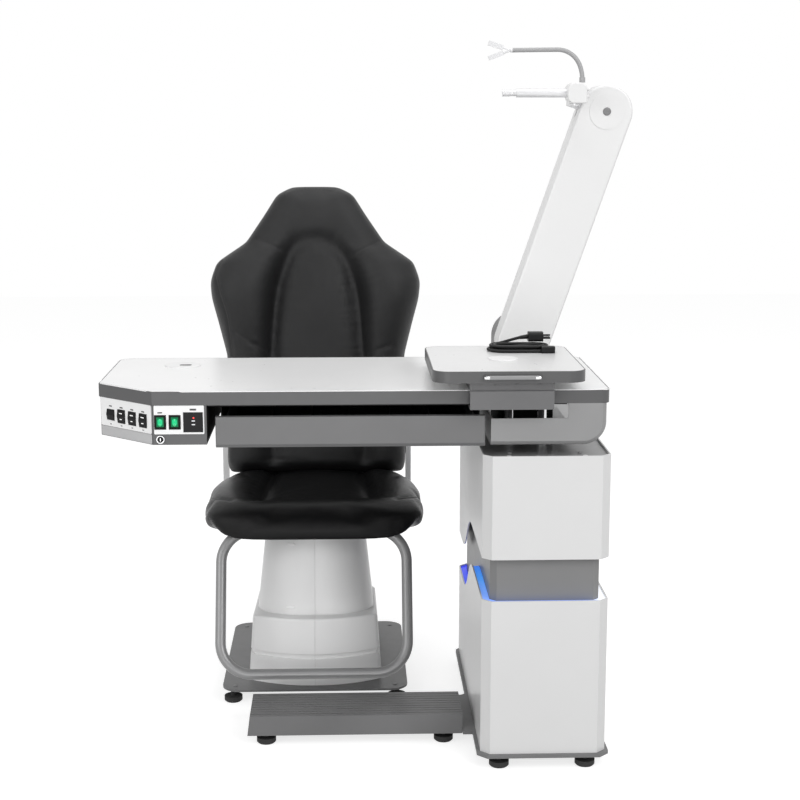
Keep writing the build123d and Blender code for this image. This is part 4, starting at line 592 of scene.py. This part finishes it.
def smooth_line(points, count=60):
    """A smooth line through given points, as many points."""
    points = np.array(points, float)
    padded = np.vstack([2 * points[0] - points[1], points, 2 * points[-1] - points[-2]])
    out = []
    spans = len(points) - 1
    for k in range(count):
        s = k / (count - 1) * spans
        i = min(int(s), spans - 1)
        t = s - i
        p0, p1, p2, p3 = padded[i:i + 4]
        out.append(0.5 * (2 * p1 + (p2 - p0) * t + (2 * p0 - 5 * p1 + 4 * p2 - p3) * t ** 2
                          + (3 * p1 - p0 - 3 * p2 + p3) * t ** 3))
    return np.array(out)


def swollen(item, pin):
    """The points of a piece after pressure from inside, with the pinned ones held."""
    group = item.vertex_groups.new(name="pin")
    for weight in (0.0, 1.0):
        group.add([int(i) for i in np.nonzero(pin == weight)[0]], weight, "REPLACE")
    cloth = item.modifiers.new("cloth", "CLOTH")
    cloth.settings.quality = CLOTH_QUALITY
    cloth.settings.mass = CLOTH_MASS
    cloth.settings.tension_stiffness = TENSION
    cloth.settings.compression_stiffness = TENSION
    cloth.settings.shear_stiffness = SHEAR
    cloth.settings.bending_stiffness = BENDING
    cloth.settings.use_pressure = True
    cloth.settings.uniform_pressure_force = PRESSURE
    cloth.settings.vertex_group_mass = "pin"
    cloth.settings.effector_weights.gravity = 0
    cloth.collision_settings.use_collision = False
    scene.frame_start, scene.frame_end = 1, CLOTH_FRAMES
    cloth.point_cache.frame_start, cloth.point_cache.frame_end = 1, CLOTH_FRAMES
    for step in range(1, CLOTH_FRAMES + 1):
        scene.frame_set(step)
    graph = bpy.context.evaluated_depsgraph_get()
    moved = coords(item.evaluated_get(graph).to_mesh())
    item.evaluated_get(graph).to_mesh_clear()
    scene.frame_set(1)
    item.modifiers.clear()
    item.vertex_groups.clear()
    return moved


def cushion(name, node, body, origin, across, along, out, channels, seams, channel_depth, channel_width,
            cap, look, held, fade, lower=FIT_SLACK):
    """A leather cushion: the CAD form remeshed, swollen between its pinned channels, and creased at its seams.

    cap limits how far a point moves, held marks points that stay in place, fade is the span along which the
    channels run out, and lower is how far the low end reaches past the CAD form. Returned is a function that
    lays a line on the finished surface.
    """
    mesh = nodes[node].data.copy()
    item = link(bpy.data.objects.new(name, mesh))
    remesh = item.modifiers.new("remesh", "REMESH")
    remesh.mode = "VOXEL"
    remesh.voxel_size = VOXEL
    graph = bpy.context.evaluated_depsgraph_get()
    mesh = bpy.data.meshes.new_from_object(item.evaluated_get(graph))
    item.modifiers.clear()
    item.data = mesh
    mesh.name = name
    mesh.materials.clear()
    mesh.materials.append(M[look])
    edges = adjacency(mesh)
    start = coords(mesh)
    origin, across, along, out = (np.array(v, float) for v in (origin, across, along, out))

    def local(points):
        rel = points - origin
        return np.column_stack([rel @ across, rel @ along]), rel @ out

    flat, height = local(start)
    base = height < height.min() + BASE_DEPTH
    points = relax(start, edges, START_ROUNDS, START_SHARE)
    put(mesh, points)
    normals = normals_of(mesh)
    points = points - normals * SHRINK
    flat, _ = local(points)
    away, _ = line_distance(flat, channels)
    front = normals @ out > FRONT_LIMIT
    pin = np.zeros(len(points))
    pin[(away < VOXEL * PIN_SHARE) & front] = 1
    pin[base | held(flat)] = 1
    put(mesh, points)
    moved = swollen(item, pin)
    shift = moved - points
    size = np.linalg.norm(shift, axis=1)
    share = np.where(size > 1e-9, np.tanh(size / cap) * cap / np.maximum(size, 1e-9), 1)
    points = points + shift * share[:, None]
    points = relax(points, edges, END_ROUNDS, END_SHARE)
    for axis in (across, along, out):
        wanted = start @ axis
        now = points @ axis
        low = wanted.min() - (lower if axis is along else FIT_SLACK)
        high = wanted.max() + FIT_SLACK
        fitted = low + (now - now.min()) * (high - low) / (now.max() - now.min())
        points = points + axis * (fitted - now)[:, None]
    put(mesh, points)
    facing = np.clip((normals_of(mesh) @ out - FACING_START) / FACING_SPAN, 0, 1)
    flat, _ = local(points)
    running = np.clip((flat[:, 1] - fade[0]) / (fade[1] - fade[0]), 0, 1)
    for lines, depth, width in ((channels, channel_depth * running, channel_width),
                                (seams, SEAM_DEPTH, SEAM_WIDTH)):
        if not lines:
            continue
        away, run = line_distance(flat, lines)
        dent = depth * np.exp(-(away / width) ** 2)
        pucker = (PUCKER * np.exp(-(away / (width * PUCKER_REACH)) ** 2)
                  * (1 - np.exp(-(away / PUCKER_GAP) ** 2))
                  * np.sin(run * PUCKER_WAVES + PUCKER_DRIFT * np.sin(run * PUCKER_DRIFT_WAVES)))
        points = points - out * ((dent - pucker) * facing)[:, None]
    put(mesh, points)
    mesh.shade_smooth()
    smooth = item.modifiers.new("smooth", "SUBSURF")
    smooth.levels = smooth.render_levels = 1
    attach(item, body)
    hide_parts(node)
    surface = BVHTree.FromPolygons([Vector(p) for p in points], [tuple(p.vertices) for p in mesh.polygons])
    across, along, out, origin = Vector(across), Vector(along), Vector(out), Vector(origin)

    def on_surface(line, lift):
        found = []
        for x, y in line:
            begin = origin + across * x + along * y + out * PROBE
            hit, normal, _, _ = surface.ray_cast(begin, -out)
            if hit is not None:
                found.append(hit + normal * lift)
        return found

    return on_surface


# Stitches: sides of the thread, the share of the pitch that a stitch fills, and its taper
STITCH_SIDES = 6
STITCH_SHARE = 0.65
STITCH_TAPER = ((0.0, 0.5), (0.2, 1), (0.8, 1), (1.0, 0.5))


def stitches(name, line, radius, pitch, look, body):
    """A row of single stitches along a line of points."""
    points = []
    faces = []
    run = 0.0
    sides = STITCH_SIDES
    for a, b in zip(line[:-1], line[1:]):
        length = (b - a).length
        direction = (b - a) / max(length, 1e-9)
        while run < length:
            p = a + direction * run
            q = p + direction * pitch * STITCH_SHARE
            side = direction.orthogonal().normalized()
            other = direction.cross(side)
            first = len(points)
            for place, scale in STITCH_TAPER:
                centre = p.lerp(q, place)
                for i in range(sides):
                    angle = 2 * math.pi * i / sides
                    points.append(centre + (side * math.cos(angle) + other * math.sin(angle)) * radius * scale)
            last = len(STITCH_TAPER) - 1
            for r in range(last):
                for i in range(sides):
                    j = (i + 1) % sides
                    faces.append((first + r * sides + i, first + r * sides + j,
                                  first + (r + 1) * sides + j, first + (r + 1) * sides + i))
            faces.append(tuple(first + i for i in reversed(range(sides))))
            faces.append(tuple(first + last * sides + i for i in range(sides)))
            run += pitch
        run -= length
    return mesh_piece(name, points, faces, look, body)


# Back cushion: its frame, the arch, the head and wing seams and the piping, in metres from its lower middle
tilt = math.radians(7.5)
back_up = Vector((0, math.sin(tilt), math.cos(tilt)))
back_out = Vector((0, -math.cos(tilt), math.sin(tilt)))
back_origin = seat_point(0, 184.5, 500)
side = Vector((1, 0, 0))
arch = smooth_line([(-0.116, 0.010), (-0.117, 0.150), (-0.119, 0.307), (-0.116, 0.379), (-0.109, 0.442),
                    (-0.100, 0.496), (-0.088, 0.541), (-0.072, 0.581), (-0.045, 0.606), (-0.009, 0.617),
                    (0.027, 0.613), (0.058, 0.595), (0.085, 0.568), (0.103, 0.532), (0.114, 0.486),
                    (0.123, 0.432), (0.127, 0.378), (0.131, 0.306), (0.133, 0.150), (0.134, 0.010)], 130)
head_seams = [smooth_line([(-0.096, 0.592), (-0.127, 0.605), (-0.158, 0.619)], 16),
              smooth_line([(0.103, 0.576), (0.144, 0.596), (0.186, 0.616)], 16)]
wing_seams = [smooth_line([(-0.222, 0.371), (-0.191, 0.351), (-0.158, 0.330), (-0.125, 0.310)], 16),
              smooth_line([(0.209, 0.333), (0.187, 0.326), (0.160, 0.315), (0.133, 0.306)], 16)]
wing_piping = [smooth_line([(-0.246, 0.572), (-0.266, 0.532), (-0.262, 0.505), (-0.253, 0.469),
                            (-0.240, 0.429), (-0.232, 0.389), (-0.224, 0.308)], 30)]
back_held = 0.035
back_fade = (0.0, 0.02)
back_lower = 0.017
on_back = cushion("back_pad", "back_cushion", "back", back_origin, side, back_up, back_out, [arch],
                  head_seams + wing_seams + wing_piping, channel_depth=0.010, channel_width=0.024, cap=0.010,
                  look="leather", held=lambda flat: flat[:, 1] < back_held, fade=back_fade,
                  lower=back_lower)
seam_radius, seam_sink = 0.0010, -0.0004
stitch_radius, stitch_pitch, stitch_offset, stitch_lift = 0.0004, 0.006, 0.004, 0.0001
for number, line in enumerate(head_seams + wing_seams + wing_piping, 1):
    trail = on_back(line[1:-1], seam_sink)
    tube(f"back_seam_{number}", trail, seam_radius, "thread", "back")
for number, line in enumerate(head_seams + wing_seams, 1):
    for way, word in ((-1, "low"), (1, "high")):
        shifted = [(x, y + way * stitch_offset) for x, y in line[1:-1]]
        stitches(f"back_stitch_{number}_{word}", on_back(shifted, stitch_lift), stitch_radius, stitch_pitch,
                 "thread", "back")

# Seat cushion: its two channels and the piping at its front corners; its leather is a darker copy of the
# back's, as painted shade
seat_channels = [smooth_line([(-0.131, -0.156), (-0.126, -0.013), (-0.121, 0.162), (-0.120, 0.205)], 40),
                 smooth_line([(0.141, -0.150), (0.132, 0.016), (0.127, 0.174), (0.125, 0.205)], 40)]
side_piping = [smooth_line([(s * 0.267, -0.060), (s * 0.258, -0.100), (s * 0.240, -0.140),
                            (s * 0.205, -0.176)], 24) for s in (-1, 1)]
seat_level = 440
seat_held = 0.170
seat_fade = (-0.175, -0.120)
on_seat = cushion("seat_pad", "seat_cushion", "seat", seat_point(0, 0, seat_level), side, Vector((0, 1, 0)),
                  Vector((0, 0, 1)), seat_channels, side_piping, channel_depth=0.012, channel_width=0.018,
                  cap=0.012, look="shaded_seat_leather", held=lambda flat: flat[:, 1] > seat_held,
                  fade=seat_fade)
piping_radius, piping_sink = 0.0012, -0.0002
for number, line in enumerate(side_piping, 1):
    tube(f"seat_piping_{number}", on_seat(line[1:-1], piping_sink), piping_radius, "thread", "seat")

# Switches: the box's slanted side runs back from its foot
front_right = Vector((1, 0, 0))
front_up = Vector((0, 0, 1))
cut_x, cut_y = 130, 120
table_left = -980
slope = Vector((-cut_x, cut_y, 0)).normalized()
slope_right = -slope
slope_out = slope_right.cross(front_up)
slope_foot = col(table_left + cut_x, 0, 0)


def on_slope(along, height, depth):
    """A point on the slanted side, in millimetres along it, up from the floor and out from it."""
    return slope_foot + slope * (along / 1000) + Vector((0, 0, height / 1000)) + slope_out * (depth / 1000)


def label(name, centre, right, width, height, thickness, corner, look, body):
    """A printed mark, label or lens, upright on a face that looks along right x up."""
    return rounded_plate(name, centre, right, front_up, width, height, thickness, corner, look, body)


# Power switches: green lens, its glow and the on and off marks
lens_face, glow_face, mark_face, ring_face = -1.9, -2.95, -3.1, -3.2
lens_height, glow_height, mark_height, ring_height = 797.5, 797.2, 802.5, 791.5
ring_half_width, ring_half_height, ring_steps = 2.1, 2.6, 16
for number, x in enumerate((-833.2, -802.2), 1):
    body = f"power_switch_{number}"
    label(f"power_lens_{number}", col(x, lens_face, lens_height), front_right, 0.0155, 0.021, 0.0011, 0.0012,
          "lens_green", body)
    label(f"power_glow_{number}", col(x, glow_face, glow_height), front_right, 0.0100, 0.0150, 0.0002, 0.0048,
          "glow_green", body)
    label(f"power_mark_on_{number}", col(x, mark_face, mark_height), front_right, 0.0009, 0.005, 0.0002, 0.0004,
          "mark_pale", body)
    turns = [2 * math.pi * i / ring_steps for i in range(ring_steps)]
    ring = [col(x + ring_half_width * math.cos(a), ring_face, ring_height + ring_half_height * math.sin(a))
            for a in turns]
    tube(f"power_mark_off_{number}", ring, 0.0003, "mark_pale", body, closed=True)

# Side switches: white marks with a faint painted glow on three of the four, and labels over and under each
side_start, side_pitch = 31, 36
side_count, marked_count = 4, 3
plain_depth = -0.7
for number in range(1, side_count + 1):
    along = side_start + side_pitch * (number - 1)
    body = f"side_switch_{number}"
    if number <= marked_count:
        for word, height, depth, width in (("a", 803.5, 1.3, 0.010), ("b", 790.5, 1.1, 0.0075)):
            label(f"side_mark_{word}_{number}", on_slope(along, height, depth), slope_right, width, 0.0022,
                  0.0004, 0.0008, "mark_white", body)
    label(f"side_label_top_{number}", on_slope(along, 816.0, plain_depth), slope_right, 0.010, 0.0028, 0.00025,
          0.001, "mark_dark", "table")
    label(f"side_label_low_{number}", on_slope(along, 776.0, plain_depth), slope_right, 0.006, 0.002, 0.00025,
          0.0008, "mark_dark", "table")

# Labels over the power switches and the touch panel, and the panel's lights
panel_face, touch_face = 0.7, -0.25
label("power_label", col(-833.5, panel_face, 817.5), front_right, 0.010, 0.0028, 0.00025, 0.001, "mark_dark",
      "table")
label("touch_label", col(-763, panel_face, 824.0), front_right, 0.014, 0.0038, 0.00025, 0.0012, "mark_dark",
      "table")
label("touch_light", col(-762, touch_face, 806), front_right, 0.0034, 0.0034, 0.0003, 0.0016, "led_red",
      "table")
for number, height in enumerate((799.5, 791.5), 1):
    label(f"touch_bar_{number}", col(-762.5, touch_face, height), front_right, 0.0075, 0.0022, 0.00025, 0.001,
          "light_bar", "table")


# Oval caps: sides, and the rings as shares of the width and of the thickness
OVAL_SIDES = 28
OVAL_RINGS = ((1.0, 0.0), (1.0, 0.6), (0.86, 0.92), (0.6, 1.0))


def oval(name, centre, right, up, width, height, thickness, look, body):
    """A low oval cap, standing out along right x up."""
    out = right.cross(up).normalized()
    points = []
    sides = OVAL_SIDES
    rings = OVAL_RINGS
    for scale, level in rings:
        for i in range(sides):
            a = 2 * math.pi * i / sides
            points.append(centre + right * (width / 2 * scale * math.cos(a))
                          + up * (height / 2 * scale * math.sin(a)) + out * (thickness * level))
    faces = []
    for r in range(len(rings) - 1):
        for i in range(sides):
            j = (i + 1) % sides
            faces.append((r * sides + i, r * sides + j, (r + 1) * sides + j, (r + 1) * sides + i))
    faces.append(tuple(reversed(range(sides))))
    faces.append(tuple((len(rings) - 1) * sides + i for i in range(sides)))
    return mesh_piece(name, points, faces, look, body)


def surface_of(name):
    """The surface of a CAD node in the shared frame."""
    item = nodes[name]
    corners = [item.matrix_world @ v.co for v in item.data.vertices]
    return BVHTree.FromPolygons(corners, [tuple(p.vertices) for p in item.data.polygons])


# Bright ovals on the front of the chair cover: painted highlights of the lamps
left_half = surface_of("chair_cover_left")
probe_start = -500
oval_sink = 0.0003
for number, (x, z) in enumerate(((-58, 378), (-62, 219)), 1):
    hit, normal, _, _ = left_half.ray_cast(seat_point(x, probe_start, z), Vector((0, 1, 0)))
    if hit is not None:
        cover_right = Vector((0, 0, 1)).cross(normal).normalized()
        oval(f"cover_highlight_{number}", hit - normal * oval_sink, cover_right, normal.cross(cover_right), 0.024,
             0.008, 0.0022, "bright_line", "base")

# Screw heads: height, sides, how deep they are sunk, and their rounding as shares of height and radius
HEAD_HEIGHT = 0.0016
HEAD_SIDES = 24
HEAD_SINK = 0.0005
HEAD_RINGS = ((0.5, 1), (0.9, 0.82), (1, 0.55))


def screw(name, centre, axis, radius, look, body):
    """A low round screw head."""
    profile = [(-HEAD_SINK, radius)] + [(HEAD_HEIGHT * level, radius * share) for level, share in HEAD_RINGS]
    return turned(name, centre, axis, profile, look, body, sides=HEAD_SIDES)


# Cap on the arm's upper pivot
arm_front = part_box("arm_front_cover")[0].y
front = Vector((0, -1, 0))
pivot = col(192, 0, 1451)
screw("pivot_cap", Vector((pivot.x, arm_front, pivot.z)), front, 0.0095, "cap_grey", "arm")

# Screws in the column's top plate and in the chair's base plate
lid_low, lid_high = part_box("column_top_plate")
lid_screw_inset = 0.012
for number, x in enumerate((-83, 83), 1):
    screw(f"lid_screw_{number}", Vector((col(x, 0, 0).x, lid_low.y + lid_screw_inset, lid_high.z)), front_up,
          0.0055, "bright_line", "table")
for number, (x, y) in enumerate(((-200, -236), (200, -236), (-200, 232), (200, 232)), 1):
    place = seat_point(x, y, 0)
    screw(f"plate_screw_{number}", Vector((place.x, place.y, plate_high.z)), front_up, 0.006, "cap_grey",
          "base")

# Key lock: bright rim, dark core and keyway, each standing out a little more
core_out, keyway_out = 0.0007, 0.0015
lock_low, lock_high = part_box("key_lock")
lock_face = Vector(((lock_low.x + lock_high.x) / 2, lock_low.y, (lock_low.z + lock_high.z) / 2))
turned("lock_rim", lock_face, front, [(-0.0005, 0.0090), (0.0010, 0.0090), (0.0016, 0.0084), (0.0016, 0.0074),
                                      (0.0008, 0.0066)], "lever_metal", "key")
turned("lock_core", lock_face + front * core_out, front, [(0, 0.0064), (0.0006, 0.0062), (0.0009, 0.0054)],
       "deep_black", "key")
rounded_plate("keyway", lock_face + front * keyway_out, front_right, front_up, 0.0018, 0.0075, 0.0004, 0.0008,
              "lever_metal", "key")

# Bright line along the tabletop's upper edge: a painted highlight where its rounding catches the light
edge_low, edge_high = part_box("table_edge_band")
line_radius, line_sink = 0.0010, 0.0006
line_corner, line_stop = 0.010, 0.02
line_level = edge_high.z - line_sink
edge_outline = [(edge_low.x, edge_high.y - line_stop), (edge_low.x, edge_low.y + cut_y / 1000),
                (edge_low.x + cut_x / 1000, edge_low.y), (edge_high.x - line_corner, edge_low.y),
                (edge_high.x, edge_low.y + line_corner), (edge_high.x, edge_high.y - line_stop)]
tube("table_edge_highlight", [Vector((x, y, line_level)) for x, y in edge_outline], line_radius, "bright_line",
     "table", order=2)

# Slot in the tabletop's cable cap
slot_at = col(-812, 352, 0)
slot_at.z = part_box("table_grommet")[1].z - line_sink
rounded_plate("cable_slot", slot_at, front_right, Vector((0, 1, 0)), 0.028, 0.014, 0.0009, 0.006, "deep_black",
              "table")

# Pale lower band on the control box's slanted side: painted light, where that side is more brightly lit than
# the front
rounded_plate("painted_light_band", on_slope(88.5, 759, -2.6), slope_right, front_up, 0.168, 0.0215, 0.0012, 0.003,
              "painted_light_grey", "table")

# Dark plate on the inner end of the control box: painted shade on that end
box_low, box_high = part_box("control_box")
box_mid = (box_low + box_high) / 2
box_edge = 0.006
rounded_plate("painted_shade_end", Vector((box_high.x, box_mid.y, box_mid.z)), Vector((0, 1, 0)), front_up,
              box_high.y - box_low.y - box_edge, box_high.z - box_low.z - box_edge, 0.0012, 0.003, "deep_black",
              "table")

# End caps of the lock lever
lever_low, lever_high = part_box("tray_lock_lever")
lever_mid = (lever_low + lever_high) / 2
lever_cap = 0.012
for number, (x, way) in enumerate(((lever_low.x, -1), (lever_high.x, 1)), 1):
    turned(f"lever_end_{number}", Vector((x - way * lever_cap, lever_mid.y, lever_mid.z)), Vector((way, 0, 0)),
           [(0, 0.0043), (0.0005, 0.0048), (0.0105, 0.0048), (0.0118, 0.0040), (0.012, 0.0030)], "lever_metal",
           "tray_lever", sides=24)

def seen_or_mirrored(tree):
    """One for rays from the camera or from a glossy surface, and nothing for the others."""
    path = tree.nodes.new("ShaderNodeLightPath")
    both = tree.nodes.new("ShaderNodeMath")
    both.operation = "MAXIMUM"
    tree.links.new(path.outputs["Is Camera Ray"], both.inputs[0])
    tree.links.new(path.outputs["Is Glossy Ray"], both.inputs[1])
    return both.outputs["Value"]


# Floor: half its width, its grey and the glow that lifts it to white
FLOOR_HALF = 9
FLOOR_GREY = (0.5, 0.5, 0.5, 1)
FLOOR_GLOW = 0.75
floor_points = [(-FLOOR_HALF, -FLOOR_HALF, 0), (FLOOR_HALF, -FLOOR_HALF, 0), (FLOOR_HALF, FLOOR_HALF, 0),
                (-FLOOR_HALF, FLOOR_HALF, 0)]
floor_mesh = bpy.data.meshes.new("floor")
floor_mesh.from_pydata(floor_points, [], [(0, 1, 2, 3)])
floor = link(bpy.data.objects.new("floor", floor_mesh))
pale = bpy.data.materials.new("pale_floor")
pale.use_nodes = True
tree = pale.node_tree
tree.nodes.clear()
output = tree.nodes.new("ShaderNodeOutputMaterial")
diffuse = tree.nodes.new("ShaderNodeBsdfDiffuse")
diffuse.inputs["Color"].default_value = FLOOR_GREY
glow = tree.nodes.new("ShaderNodeEmission")
glow.inputs["Color"].default_value = (1, 1, 1, 1)
tree.links.new(mapped(tree, seen_or_mirrored(tree), 0.0, FLOOR_GLOW), glow.inputs["Strength"])
add = tree.nodes.new("ShaderNodeAddShader")
tree.links.new(diffuse.outputs["BSDF"], add.inputs[0])
tree.links.new(glow.outputs["Emission"], add.inputs[1])
tree.links.new(add.outputs["Shader"], output.inputs["Surface"])
floor_mesh.materials.append(pale)

# World: dim as a light, white where it is seen or mirrored
WORLD_LIGHT, WORLD_SEEN = 0.45, 1.0
world = bpy.data.worlds.new("world")
scene.world = world
world.use_nodes = True
tree = world.node_tree
back_light = tree.nodes["Background"]
back_light.inputs["Color"].default_value = (1, 1, 1, 1)
tree.links.new(mapped(tree, seen_or_mirrored(tree), WORLD_LIGHT, WORLD_SEEN), back_light.inputs["Strength"])

# Lamps: name, place, target, size in metres and power in watts
LAMPS = (("key", (2.6, -3.4, 3.0), (0, 0, 0.7), (2.4, 2.4), 84),
         ("fill", (-3.2, -3.0, 2.2), (0, 0, 0.7), (2.6, 2.2), 50),
         ("front", (-0.6, -3.6, 0.5), (-0.2, 0.4, 0.35), (2.2, 1.0), 17),
         ("top", (0.2, -0.2, 4.2), (0, 0, 0.5), (3.0, 3.0), 50))
for name, place, target, size, power in LAMPS:
    light = bpy.data.lights.new(name, "AREA")
    light.shape = "RECTANGLE"
    light.size, light.size_y = size
    light.energy = power
    item = link(bpy.data.objects.new(name, light))
    item.location = place
    item.rotation_euler = (Vector(target) - Vector(place)).to_track_quat("-Z", "Y").to_euler()

scene.view_settings.view_transform = "Standard"
